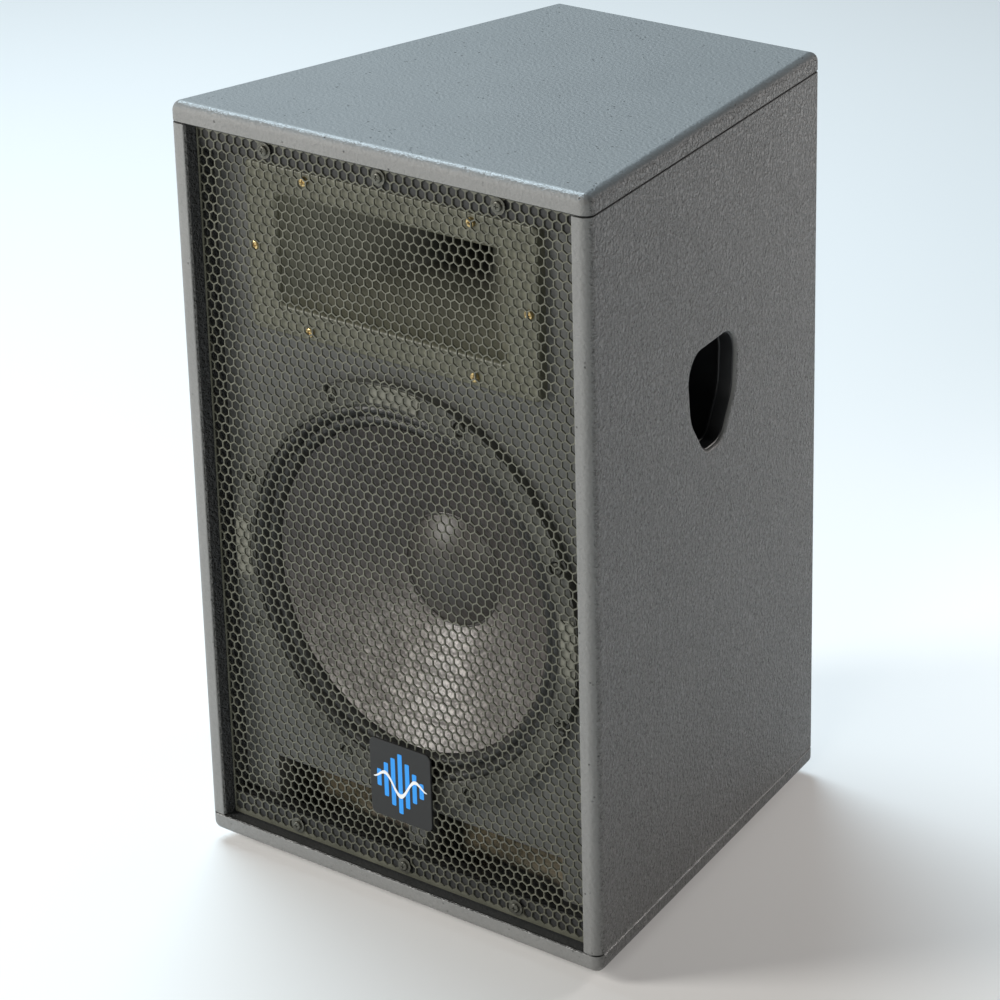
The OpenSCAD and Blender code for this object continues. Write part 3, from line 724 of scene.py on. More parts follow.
# Colour, lowest and highest roughness, and then the grain's scale and depth where they differ
MOULDED = {
    "batten_paint": ((0.014, 0.014, 0.014), 0.5, 0.65, 420, 0.0002),
    "badge_face": ((0.017, 0.018, 0.019), 0.65, 0.8),
    "cup_plastic": ((0.022, 0.023, 0.025), 0.3, 0.45, 900, 0.0001),
    "rubber_foot": ((0.028, 0.028, 0.027), 0.6, 0.8),
    "socket_plastic": ((0.02, 0.05, 0.19), 0.3, 0.45),
    "basket_paint": ((0.085, 0.085, 0.078), 0.32, 0.5, 500, 0.00012),
    "gasket_foam": ((0.19, 0.187, 0.155), 0.5, 0.7, 700, 0.0002),
    "gasket_rubber": ((0.085, 0.084, 0.073), 0.38, 0.55, 700, 0.0002),
    "ferrite": ((0.075, 0.075, 0.08), 0.5, 0.68, 350, 0.0002),
    "capacitor_film": ((0.62, 0.47, 0.06), 0.2, 0.32, 300, 0.00005),
    "ceramic": ((0.76, 0.74, 0.68), 0.55, 0.75, 600, 0.00015),
    "lead_black": ((0.03, 0.03, 0.03), 0.4, 0.55),
    "lead_red": ((0.42, 0.02, 0.02), 0.4, 0.55),
    "lead_green": ((0.02, 0.22, 0.07), 0.4, 0.55),
}
MATERIALS = {slot: moulded(slot, *values) for slot, values in MOULDED.items()}
MATERIALS |= {
    "textured_paint": structured_paint(),
    "baffle_paint": baffle_paint(),
    "duct_wood": duct_wood(),
    "raw_wood": plywood(),
    "grille_steel": grille_coat(),
    "black_screw": black_oxide(),
    "badge_blue": printed("badge_blue", (0.015, 0.30, 0.86)),
    "badge_white": printed("badge_white", (0.84, 0.85, 0.86)),
    "zinc_steel": bright_metal("zinc_steel", (0.62, 0.61, 0.57), 0.22, 0.42),
    "yellow_zinc": bright_metal("yellow_zinc", (0.66, 0.50, 0.24), 0.24, 0.42),
    "surround_cloth": woven("surround_cloth", (0.02, 0.02, 0.019), 0.0011, 0.4, 0.12),
    # The number after the axis height is the share of pale dust, partly a painted highlight, on the
    # faces that look up
    "cone_paper": pulp("cone_paper", (0.034, 0.028, 0.026), 0.36, 0.42, WOOFER_Z * MM, 0.9, 0.0042),
    "cap_paper": pulp("cap_paper", (0.030, 0.026, 0.022), 0.42, 0.5, WOOFER_Z * MM, 0.12),
    "copper_coil": enamelled_wire(),
    "spider_cloth": woven("spider_cloth", (0.55, 0.38, 0.14), 0.0012, 0.6),
    "horn_plastic": horn_plastic(),
    "diaphragm_foil": bright_metal("diaphragm_foil", (0.68, 0.68, 0.70), 0.2, 0.35, (1, 1, 1)),
    "circuit_board": circuit_board(),
}


# ---------- enclosure ----------

def footprint(inset):
    """The box's outline seen from above, moved in."""
    front = half_w(inset) - inset / math.cos(SIDE_ANGLE)
    back = half_w(CAB_D - inset) - inset / math.cos(SIDE_ANGLE)
    near, far = FRONT_Y + inset, FRONT_Y + CAB_D - inset
    corners = [(-front, near), (front, near), (back, far), (-back, far)]
    front_r, back_r = max(EDGE_R - inset, 0.5), max(BACK_EDGE_R - inset, 0.5)
    return rounded(corners, [front_r, front_r, back_r, back_r])


def board_rings(joint_z, way):
    """A board's rings from its joint with the sides to its outer face, upwards or downwards."""
    rings = [(SEAM, 0), (0, SEAM)]
    rings += [(EDGE_R * s, PLY - EDGE_R + EDGE_R * u) for s, u in quarter(ARC_STEPS)]
    return [at(footprint(inset), joint_z + way * rise) for inset, rise in rings]


def top_board():
    bm = bmesh.new()
    solid(bm, board_rings(CEILING_Z, 1))
    piece("top_board", bm, "textured_paint", ["top_panel"])


def bottom_board():
    """The bottom board, with a stepped hole for the pole socket's plate and tube."""
    bm = bmesh.new()
    low, high = box("pole_socket")
    plate_r = (high.x - low.x) / 2 + 0.1
    tube_r = 21
    hole = [at([p + Vector((0, POLE_Y)) for p in circle(radius)], height)
            for radius, height in ((tube_r, FLOOR_Z), (tube_r, BOX_Z + PLATE_T),
                                   (plate_r, BOX_Z + PLATE_T), (plate_r, BOX_Z))]
    plate(bm, [board_rings(FLOOR_Z, -1), hole])
    piece("bottom_board", bm, "textured_paint", ["bottom_panel"])


def side_section(inset):
    """A side panel's outline seen from above, moved in on its outer faces."""
    skew = inset / math.cos(SIDE_ANGLE)
    near, far = FRONT_Y + inset, FRONT_Y + CAB_D - inset
    corners = [(inner_half_w(0), near), (half_w(0) - skew, near), (half_w(CAB_D) - skew, far),
               (inner_half_w(CAB_D), far)]
    return rounded(corners, [INNER_EDGE_R, EDGE_R - inset, BACK_EDGE_R - inset, 0])


HANDLE_CORNERS = [(-50, 45), (-43, -14), (-15, -52), (19, -52), (45, -14), (50, 45)]
HANDLE_RADII = [24, 40, 22, 22, 40, 24]


def round_handle(corners, radii, height):
    """A ring round the handle's middle, in the side panel's frame."""
    return [Vector((p.x + HANDLE_S, p.y + HANDLE_Z, height)) for p in rounded(corners, radii, 12)]


def handle_ring(gap, height):
    """The handle opening's outline, grown by gap."""
    return round_handle(grow(HANDLE_CORNERS, gap), [r + gap for r in HANDLE_RADII], height)


def side_board(name, node, mirror):
    """A side panel: its section drawn up, with the handle opening through its two flat faces."""
    bm = bmesh.new()
    made = solid(bm, [at(side_section(inset), z) for inset, z in (
        (SEAM, FLOOR_Z), (0, FLOOR_Z + SEAM), (0, CEILING_Z - SEAM), (SEAM, CEILING_Z))])
    place = on_side()
    edge = 3
    hole = [handle_ring(edge * (1 - u), -edge * s) for s, u in quarter(6)]
    hole.append(handle_ring(0, -PLY))
    hole = [[place @ p for p in ring] for ring in hole]
    mouths = walls(bm, hole)
    outer = 2 * (ARC_STEPS + 1) - 1
    inner = 3 * (ARC_STEPS + 1)
    count = len(made[1])
    for start, mouth in ((outer, mouths[0]), (inner, mouths[-1])):
        quad = [made[1][start], made[1][(start + 1) % count],
                made[2][(start + 1) % count], made[2][start]]
        bm.faces.remove(bm.faces.get(quad))
        cap(bm, quad, mouth)
    piece(name, bm, "textured_paint", [node], mirror)


def back_board():
    """The back board, with a stepped hole for the connector dish."""
    bm = bmesh.new()
    low, high = box("back_panel")

    def outline(y, inset):
        x = inner_half_w(y - FRONT_Y) - inset
        bottom, top = low.z + inset, high.z - inset
        return [Vector((sx * x, y, z)) for sx, z in ((-1, bottom), (1, bottom), (1, top), (-1, top))]

    outside = [outline(high.y, SEAM), outline(high.y - SEAM, 0), outline(low.y, 0)]
    dish_low, dish_high = box("connector_dish")
    w, h = dish_high.x - dish_low.x, dish_high.z - dish_low.z
    place = on_back(0, DISH_Z)
    gap, narrower = 1, 19.8
    steps = [(gap, 6.5, 0), (gap, 6.5, -DISH_FLANGE), (-narrower, 6, -DISH_FLANGE),
             (-narrower, 6, low.y - high.y)]
    hole = [[place @ p for p in at(rounded_rect(w + more, h + more, r), z)] for more, r, z in steps]
    plate(bm, [outside, hole])
    piece("back_board", bm, "textured_paint", ["back_panel"])


# ---------- grille ----------

PITCH = 9.45
WEB = 1.5
HOLE_BEVEL = 0.3
RIM = 0.8


def perforated_grille():
    """A steel sheet with staggered rows of hexagonal holes, each cell a share of the sheet."""
    bm = bmesh.new()
    low, high = box("grille")
    width, tall = high.x - low.x - 2 * RIM, high.z - low.z - 2 * RIM
    columns = round(width / PITCH - 0.5)
    pitch = width / (columns + 0.5)
    row = pitch * math.sqrt(3) / 2
    rows = int((tall - pitch / math.sqrt(3)) / row)
    middle_x, middle_z = (low.x + high.x) / 2, (low.z + high.z) / 2
    cell = pitch / math.sqrt(3)
    hole = (pitch - WEB) / math.sqrt(3)
    shared = {}

    def vertex(x, z, y):
        key = (round(x * 50), round(z * 50), round(y * 50))
        if key not in shared:
            shared[key] = bm.verts.new((x, y, z))
        return shared[key]

    def ring(x, z, radius, y, side):
        """A hexagon, or the half of one that lies to one side of its middle."""
        corners = [(radius * math.cos(math.radians(a)), radius * math.sin(math.radians(a)))
                   for a in (-30, 30, 90, 150, 210, 270)]
        if side:
            cut = 0 if radius == cell else WEB / 2 - (hole - radius)
            tip = radius - cut * math.tan(math.radians(30))
            right = [(cut, -tip), corners[0], corners[1], (cut, tip)]
            corners = right if side > 0 else [(-a, b) for a, b in right]
        return [vertex(x + a, z + b, y) for a, b in corners]

    def add_cell(x, z, side=0):
        loops = [ring(x, z, radius, y, side) for radius, y in (
            (cell, low.y), (hole + HOLE_BEVEL, low.y), (hole, low.y + HOLE_BEVEL), (hole, high.y),
            (cell, high.y))]
        count = len(loops[0])
        for a, b in zip(loops, loops[1:]):
            for k in range(count):
                n = (k + 1) % count
                bm.faces.new((a[k], a[n], b[n], b[k]))

    for j in range(rows):
        z = middle_z + (j - (rows - 1) / 2) * row
        way = 1 if j % 2 else -1
        first = middle_x - (columns - 1) / 2 * pitch + way * pitch / 4
        for i in range(columns):
            add_cell(first + i * pitch, z)
        add_cell(first - pitch if way > 0 else first + columns * pitch, z, way)
    rims = []
    for y in (low.y, high.y):
        rim = [e for e in bm.edges if len(e.link_faces) == 1
               and all(abs(v.co.y - y) < 0.01 for v in e.verts)]
        border = [bm.verts.new((x, y, z)) for x, z in ((low.x, low.z), (high.x, low.z),
                                                       (high.x, high.z), (low.x, high.z))]
        bmesh.ops.triangle_fill(bm, use_beauty=True, edges=rim + loop_edges(bm, border))
        rims.append(border)
    for k in range(4):
        n = (k + 1) % 4
        bm.faces.new((rims[0][k], rims[0][n], rims[1][n], rims[1][k]))
    piece("perforated_grille", bm, "grille_steel", ["grille"], sharp=25)


# ---------- screws ----------

def recess(reach, arm):
    """A cross-shaped outline of 32 points, for the recess in a screw's head."""
    edge = math.atan2(arm, reach)
    eighth = [0, edge / 2, edge, (edge + math.pi / 4) / 2]
    quarter_turn = eighth + [math.pi / 4] + [math.pi / 2 - a for a in reversed(eighth[1:])]
    outline, angles = [], []
    for k in range(4):
        for a in quarter_turn:
            off = min(a, math.pi / 2 - a)
            r = min(reach / math.cos(off), arm / max(math.sin(off), 1e-6))
            angle = k * math.pi / 2 + a
            outline.append(Vector((r * math.cos(angle), r * math.sin(angle))))
            angles.append(angle)
    return outline, angles


def screw(bm, place, head_r, head_h, shank_r, length, washer=(0, 0), countersunk=False):
    """A screw along z: its head rises from 0, or lies in a countersink; its shank points down."""
    cross, angles = recess(head_r * 0.5, head_r * 0.11)
    small = [p * 0.7 for p in cross]

    def disc(radius, height):
        return [Vector((radius * math.cos(a), radius * math.sin(a), height)) for a in angles]

    washer_r, washer_t = washer
    if countersunk:
        dome = [(0.93, head_h), (1.0, head_h - 0.25), (1.0, head_h - 0.5)]
        neck = [disc(shank_r, 0)]
    else:
        dome = [(0.72, head_h), (0.88, head_h * 0.88), (0.97, head_h * 0.62), (1.0, head_h * 0.3)]
        neck = [disc(head_r * 0.99, 0)]
        if washer_r:
            edge = 0.25
            neck += [disc(washer_r - edge, 0), disc(washer_r, -edge), disc(washer_r, edge - washer_t),
                     disc(washer_r - edge, -washer_t)]
        neck.append(disc(shank_r, -washer_t))
    rings = [at(small, head_h * 0.45), at(cross, head_h)]
    rings += [disc(head_r * r, h) for r, h in dome] + neck
    pitch = shank_r * 0.8
    turns = int((length - washer_t - shank_r) / pitch)
    for k in range(turns):
        z = -washer_t - 0.2 - k * pitch
        rings += [disc(shank_r, z - 0.1), disc(shank_r * 0.78, z - pitch / 2)]
    rings += [disc(shank_r * 0.78, -length + shank_r), disc(shank_r * 0.2, -length)]
    rings = [[place @ p for p in ring] for ring in rings]
    solid(bm, rings)


def screws(node, name, slot, axis, head_r, head_h, shank_r, finish=None, **more):
    """Screws where a CAD node has them; axis is the way that their heads point."""
    bm = bmesh.new()
    axis = Vector(axis)
    turn = Vector((0, 0, 1)).rotation_difference(axis).to_matrix().to_4x4()
    for low, high in solids(node):
        length = abs((high - low).dot(axis))
        top = (low + high) / 2 + axis * (length / 2 - head_h)
        place = Matrix.Translation(top) @ turn
        screw(bm, place, head_r, head_h, shank_r, length - head_h, **more)
    piece(name, bm, slot, [node], finish=finish)


def all_screws():
    front, back, down = (0, -1, 0), (0, 1, 0), (0, 0, -1)
    screws("grille_screws", "grille_fixing_screws", "black_screw", front, 4.6, 2.2, 2, washer=(7.5, 1))
    screws("woofer_screws", "woofer_fixing_screws", "black_screw", front, 5.5, 3.8, 2.9)
    screws("horn_screws", "horn_fixing_screws", "zinc_steel", front, 4.4, 2.8, 2, "yellow_zinc")
    screws("hf_mount_bolts", "hf_mounting_bolts", "zinc_steel", front, 5, 4, 3)
    screws("hf_cover_screws", "hf_cover_fixing_screws", "zinc_steel", back, 3.4, 2.4, 2)
    screws("dish_screws", "dish_fixing_screws", "zinc_steel", back, 3.0, 1.6, 1.5, countersunk=True)
    screws("socket_screws", "socket_fixing_screws", "zinc_steel", back, 2.6, 1.8, 1.5)
    screws("foot_screws", "foot_fixing_screws", "zinc_steel", down, 4.6, 2.8, 2)
    screws("pole_socket_screws", "pole_socket_fixing_screws", "zinc_steel", down, 4.4, 2.1, 2,
           countersunk=True)


def handle_fixing_screws():
    """The cups' screws lie on the slanted flanges inside the cabinet."""
    bm = bmesh.new()
    into = Matrix.Rotation(math.pi, 4, "X")
    for mirror in (HERE, MIRROR):
        for s, z in ((-62, 40), (62, 40), (-58, -12), (58, -12), (-30, 73), (30, 73)):
            place = mirror @ on_side() @ Matrix.Translation((HANDLE_S + s, HANDLE_Z + z, -PLY - 4))
            screw(bm, place @ into, 3.6, 2.4, 1.6, 15)
    piece("handle_fixing_screws", bm, "black_screw", ["handle_screws"])


# ---------- badge ----------

def badge():
    """A plain plate with a generic level meter and a sound wave."""
    low, high = box("badge")
    w, h, t = high.x - low.x, high.z - low.z, high.y - low.y
    place = upright((low.x + high.x) / 2, high.y, (low.z + high.z) / 2)
    bm = bmesh.new()
    edge = 0.7
    rings = [at(rounded_rect(w, h, 6), 0)]
    rings += [at(rounded_rect(w - 2 * edge * s, h - 2 * edge * s, 6 - edge * s), t - edge + edge * u)
              for s, u in quarter(4)]
    solid(bm, rings)
    piece("badge_plate", bm, "badge_face", ["badge"], place)

    bars = bmesh.new()
    step = w / 8.6
    for i, share in enumerate((0.22, 0.44, 0.62, 0.78, 0.58, 0.38, 0.2)):
        shift = (i - 3) * step
        outline = [Vector((p.x + shift, p.y)) for p in rounded_rect(step * 0.6, h * share, 0.9, 3)]
        solid(bars, [at(outline, t), at(outline, t + 0.2)])
    piece("badge_bars", bars, "badge_face", [], place, finish="badge_blue")

    wave = bmesh.new()
    steps = 48
    upper, lower = [], []
    for i in range(steps + 1):
        share = i / steps
        x = (share - 0.5) * w * 0.88
        y = 12 * math.sin(share * 3 * math.pi) * math.sin(share * math.pi)
        thick = 0.25 + 1.9 * math.sin(share * math.pi) ** 0.6
        upper.append(Vector((x, y + thick)))
        lower.append(Vector((x, y - thick)))
    outline = lower + upper[::-1]
    rings = walls(wave, [at(outline, t + 0.2), at(outline, t + 0.45)])
    for ring in rings:
        for i in range(steps):
            wave.faces.new((ring[i], ring[i + 1], ring[-2 - i], ring[-1 - i]))
    piece("badge_wave", wave, "badge_face", [], place, finish="badge_white")


# ---------- handle cups, feet, pole socket ----------

CUP_DEPTH = 40
CUP_WALL = 3


def cup_ring(gap, height):
    """The cup's inner outline, widened by gap."""
    corners = [(-54 - gap, 64 + gap), (-48 - gap, -16), (-17 - gap, -56 - gap),
               (21 + gap, -56 - gap), (50 + gap, -16), (54 + gap, 64 + gap)]
    return round_handle(corners, [20, 40, 22, 22, 40, 20], height)


def sleeve_rings():
    """A thin sleeve that lines the handle opening, with a bead round its inner end."""
    wall, gap, lip = 1.4, 0.1, 3.4
    bead_r = 1.3
    bead = [(-gap - wall - bead_r * math.sin(math.pi * i / 8),
             -PLY + bead_r - bead_r * math.cos(math.pi * i / 8)) for i in range(9)]
    front = [(-gap - wall, -lip - 0.9), (-gap - wall * 0.7, -lip - 0.25), (-gap - wall * 0.3, -lip)]
    return [handle_ring(g, h) for g, h in bead + front + [(-gap, -lip - 0.5), (-gap, -PLY)]]


def handle_cup(name, node, mirror):
    """A moulded cup behind the handle opening, with a rounded floor and a flange."""
    bm = bmesh.new()
    fillet = 9
    front = -PLY
    flange_w, flange_t = 18, 4
    inside = [cup_ring(-fillet * s, front - CUP_DEPTH + fillet - fillet * u) for s, u in quarter(6)]
    outside = [cup_ring(CUP_WALL - fillet * s,
                        front - CUP_DEPTH - CUP_WALL + fillet - fillet * u) for s, u in quarter(6)]
    flange = [(0, 1), (1, 0), (flange_w - 0.8, 0), (flange_w, 0.8), (flange_w, flange_t),
              (CUP_WALL + 2, flange_t), (CUP_WALL, flange_t + 2)]
    solid(bm, inside[::-1] + [cup_ring(gap, front - down) for gap, down in flange] + outside)
    walls(bm, sleeve_rings(), wrap=True)
    piece(name, bm, "cup_plastic", [node], mirror @ on_side())


def feet():
    """Rubber feet, each with a counterbore for its screw."""
    bm = bmesh.new()
    hole_r, counterbore_r, web = 2.4, 6, 5
    for low, high in solids("rubber_feet"):
        centre = (low + high) / 2
        top, r = high.z, (high.x - low.x) / 2
        profile = turned([(hole_r, top), (r, top), (r - 0.4, top * 0.7), (r - 2, 0),
                          (counterbore_r + 2, 0), (counterbore_r, 2), (counterbore_r, top - web),
                          (hole_r, top - web)], [0, 0.6, 1, 1.6, 1.2, 0.8, 0, 0], 4)
        foot = bmesh.new()
        lathe(foot, profile, 48)
        add(bm, foot, Matrix.Translation((centre.x, centre.y, 0)))
    piece("rubber_feet_set", bm, "rubber_foot", ["rubber_feet"])


def pole_cup():
    """The socket for a pole: a round plate with a blind tube."""
    low, high = box("pole_socket")
    r = (high.x - low.x) / 2
    tall = high.z - low.z
    bore, wall, bevel = 17.9, 3, 1.5
    profile = turned([(bore + bevel, 0), (r, 0), (r, PLATE_T), (bore + wall, PLATE_T),
                      (bore + wall, tall), (0, tall), (0, tall - wall), (bore, tall - wall),
                      (bore, bevel)], [1, 1, 0.5, 1, 2, 0, 0, 1, 0.5], 4)
    lathed("pole_cup", "cup_plastic", ["pole_socket"], Matrix.Translation((0, POLE_Y, low.z)),
           [profile], 72)


# ---------- rear connectors ----------

def rear_dish():
    """A moulded dish with two round openings for the sockets."""
    bm = bmesh.new()
    low, high = box("connector_dish")
    w, h = high.x - low.x, high.z - low.z
    rear = -DISH_DEPTH - DISH_WALL
    edge = 1.2
    fillet = 3

    def rect(shrink, r, height):
        return at(rounded_rect(w - shrink, h - shrink, r), height)

    outside = [rect(20, 6, rear), rect(20, 6, -DISH_FLANGE), rect(0, 6, -DISH_FLANGE)]
    outside += [rect(2 * edge * s, 6 - edge * s, edge * u - edge) for s, u in quarter(4)]
    outside += [rect(23, 5, 0), rect(25, 4, -1)]
    outside += [rect(25 + 2 * fillet * (1 - u), 4 - fillet * (1 - u) * 0.9, fillet * s - DISH_DEPTH)
                for s, u in [(1 - u, 1 - s) for s, u in quarter(4)]]
    made = walls(bm, outside)
    holes = []
    for x in (-27, 27):
        ring = [p + Vector((x, 0)) for p in circle(12.1, 48)]
        holes.append(walls(bm, [at(ring, rear), at(ring, -DISH_DEPTH)]))
    cap(bm, made[0], *[hole[0] for hole in holes])
    cap(bm, made[-1], *[hole[-1] for hole in holes])
    piece("rear_dish", bm, "cup_plastic", ["connector_dish"], on_back(0, DISH_Z))


def speaker_socket(name, node):
    """A chassis socket: flange, raised collar, deep ring groove round a keyed centre post."""
    bm = bmesh.new()
    low, high = box(node)
    flange, well, barrel_end = 2, -12, -24
    edge = 0.5
    w, h, corner = 26, 31, 3
    stack = [at(rounded_rect(w, h, corner), 0)]
    stack += [at(rounded_rect(w - 2 * edge * s, h - 2 * edge * s, corner), flange - edge + edge * u)
              for s, u in quarter(3)]
    groove = [at(circle(r, 36), z) for r, z in ((11.6, flange), (11.2, flange + 0.5),
                                                (10.5, flange + 0.1), (10.5, well))]
    post = [at(keyed(r), z) for r, z in ((6.5, well), (6.5, 1.4), (6.0, 2))]
    barrel = [at(circle(r, 36), z) for r, z in ((12, 0), (12, barrel_end + 0.5), (11.5, barrel_end))]
    made, rim, centre, tail = (walls(bm, rings) for rings in (stack, groove, post, barrel))
    cap(bm, made[-1], rim[0])
    cap(bm, rim[-1], centre[0])
    cap(bm, centre[-1])
    cap(bm, made[0], tail[0])
    cap(bm, tail[-1])
    for x in (-5, 5):
        block(bm, (x - 2.4, -0.4, -32), (x + 2.4, 0.4, -23.8), 0.15)
    place = on_back((low.x + high.x) / 2, DISH_Z) @ Matrix.Translation((0, 0, -DISH_DEPTH))
    piece(name, bm, "socket_plastic", [node], place)


def keyed(radius):
    """A round post's outline with two opposite keyways."""
    outline = []
    for p in circle(radius, 36):
        angle = math.atan2(p.y, p.x)
        outline.append(p * (0.8 if abs(math.sin(angle)) < 0.3 else 1))
    return outline


# ---------- woofer ----------

def roll_z(r, inner, outer, base, rise, height, rolls):
    """Height of a surround or spider at radius r: rolls between its two feet."""
    s = (r - inner) / (outer - inner)
    return base + rise * s + height * abs(math.sin(math.pi * rolls * s))


def surround():
    """The cloth surround, with two rolls between the cone's edge and the flat foot on the rim."""
    steps = 40
    inner, outer, foot = 150.3, 172.0, 180.0
    base, rise, roll_h, rolls = -4, 10.5, 4.2, 2
    rim, cloth_t = 6, 0.8
    radii = [inner + (outer - inner) * i / steps for i in range(steps + 1)]
    line = [(r, roll_z(r, inner, outer, base, rise, roll_h, rolls)) for r in radii]
    top = [(r, h + cloth_t / 2) for r, h in line] + [(foot, rim + cloth_t)]
    under = [(foot, rim)] + [(r, h - cloth_t / 2) for r, h in reversed(line)]
    flexing("woofer_surround", "surround_cloth", top + under, 16)


def flexing(node, slot, profile, sectors):
    """A ring of cloth made as separate sectors, each its own piece."""
    step = 360 / sectors
    for k in range(sectors):
        bm = bmesh.new()
        lathe(bm, profile, 10, k * step, step)
        made = piece(f"{node}_{k + 1:02d}", bm, slot, [], WOOFER)
        bend(made)
    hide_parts(node)


def bend(obj):
    """Takes a sector off its body and bakes its place into its mesh."""
    world = obj.matrix_world.copy()
    obj.parent = None
    obj.matrix_world = world
    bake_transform(obj)


def spider():
    """The corrugated spider, from the coil's former to the basket's ledge."""
    steps = 60
    inner, roll_end, foot = 38.4, 79.0, 84.0
    base, ripples, ripple_h, cloth_t = -75.9, 5, 1.8, 0.8
    radii = [inner + (roll_end - inner) * i / steps for i in range(steps + 1)]
    turn = 2 * math.pi * ripples / (roll_end - inner)
    line = [(r, base + ripple_h * (1 - math.cos(turn * (r - inner)))) for r in radii]
    profile = line + [(foot, base), (foot, base + cloth_t)]
    profile += [(r, h + cloth_t) for r, h in reversed(line)]
    flexing("woofer_spider", "spider_cloth", profile, 12)


CONE_NECK = (38.3, -68.8)
CONE_EDGE = (150.0, -3.0)


def cone_height(r):
    share = (r - CONE_NECK[0]) / (CONE_EDGE[0] - CONE_NECK[0])
    return CONE_NECK[1] + (CONE_EDGE[1] - CONE_NECK[1]) * share


def cone():
    """The paper cone with pressed stiffening rings."""
    steps = 112
    paper_t = 1.6
    radii = [CONE_NECK[0] + (CONE_EDGE[0] - CONE_NECK[0]) * i / steps for i in range(steps + 1)]

    def relief(r):
        return sum(0.7 * math.exp(-((r - ring) / 1.3) ** 2) for ring in (76, 94, 112, 130))

    front = [(r, cone_height(r) - relief(r)) for r in radii]
    back = [(r, cone_height(r) - paper_t - relief(r)) for r in reversed(radii)]
    lathed("paper_cone", "cone_paper", ["woofer_cone"], WOOFER, [front + back], 128, CONE_BODY)


def dust_cap():
    """A thin dome with a bead of glue round its foot."""
    r, rise = 52.0, 18.0
    ball = (r * r + rise * rise) / (2 * rise)
    base = cone_height(r) + 0.3
    steps = 20
    angles = [math.asin(r / ball) * (1 - i / steps) for i in range(steps + 1)]
    outer = [(ball * math.sin(a), base + rise - ball * (1 - math.cos(a))) for a in angles]
    inner = [((ball - 1) * math.sin(a), base + rise - 1 - (ball - 1) * (1 - math.cos(a)))
             for a in reversed(angles)]
    bead = [(r + 0.6 + 1.1 * math.cos(a), base + 0.5 + 1.1 * math.sin(a))
            for a in [2 * math.pi * i / 10 for i in range(10)]]
    lathed("paper_dust_cap", "cap_paper", ["woofer_dust_cap"], WOOFER, [outer + inner, bead],
           body=CONE_BODY)


def winding(r_in, r_out, low, high, wire):
    """A coil's profile with a scallop for each turn of wire."""
    count = int((high - low) / wire)
    bumps = []
    for i in range(count):
        for part in range(4):
            h = low + (high - low) * (i + part / 4) / count
            bumps.append((r_out - wire * 0.35 * (1 - math.sin(math.pi * part / 4)), h))
    return [(r_in, high), (r_in, low)] + bumps + [(r_out - wire * 0.35, high)]


def voice_coil():
    """The winding in the magnet's gap, on a former that reaches up to the cone's neck."""
    former_in, former_out, coil_out = 37.5, 38.1, 39.0
    foot, top = -112, -64
    former = [(former_in, foot), (former_out, foot), (former_out, top), (former_in, top)]
    lathed("voice_coil_on_former", "copper_coil", ["woofer_voice_coil"], WOOFER,
           [former, winding(former_out, coil_out, foot + 4, foot + 20, 0.8)], body=CONE_BODY)


def rim_pads():
    """Four light pads on the gasket, at the top, bottom, left and right."""
    bm = bmesh.new()
    half_angle = 8.5
    profile = ring_profile(176, 192.5, 10, 11.2, [0, 0, 0.5, 0.5])
    for k in range(4):
        lathe(bm, profile, 12, 90 * k - half_angle, 2 * half_angle)
    piece("gasket_pads", bm, "gasket_foam", [], WOOFER)


def motor():
    """The magnet, its plate and the yoke with its vented pole."""
    plate_front, magnet_front, yoke_front, yoke_back = -96, -104, -124, -132
    vent_r, pole_r, gap_r, plate_r, yoke_r, magnet_in, magnet_out = 12, 36.8, 39.7, 86, 88, 52, 95
    pole_front, chamfer = plate_front + 1, 4
    lathed("front_pole_plate", "zinc_steel", ["woofer_top_plate"], WOOFER,
           [ring_profile(gap_r, plate_r, magnet_front, plate_front, [0.3, 1, 1.5, 0.3])])
    lathed("ring_magnet", "ferrite", ["woofer_magnet"], WOOFER,
           [ring_profile(magnet_in, magnet_out, yoke_front, magnet_front, [1, 2, 2, 1])])
    yoke = turned([(vent_r, yoke_back), (yoke_r - chamfer, yoke_back), (yoke_r, yoke_back + chamfer),
                   (yoke_r, yoke_front), (pole_r, yoke_front), (pole_r, pole_front),
                   (vent_r, pole_front)], [2, 1, 1, 0.5, 2, 1, 2], 3)
    lathed("yoke_with_pole", "zinc_steel", ["woofer_yoke"], WOOFER, [yoke])


# ---------- horn and its driver ----------

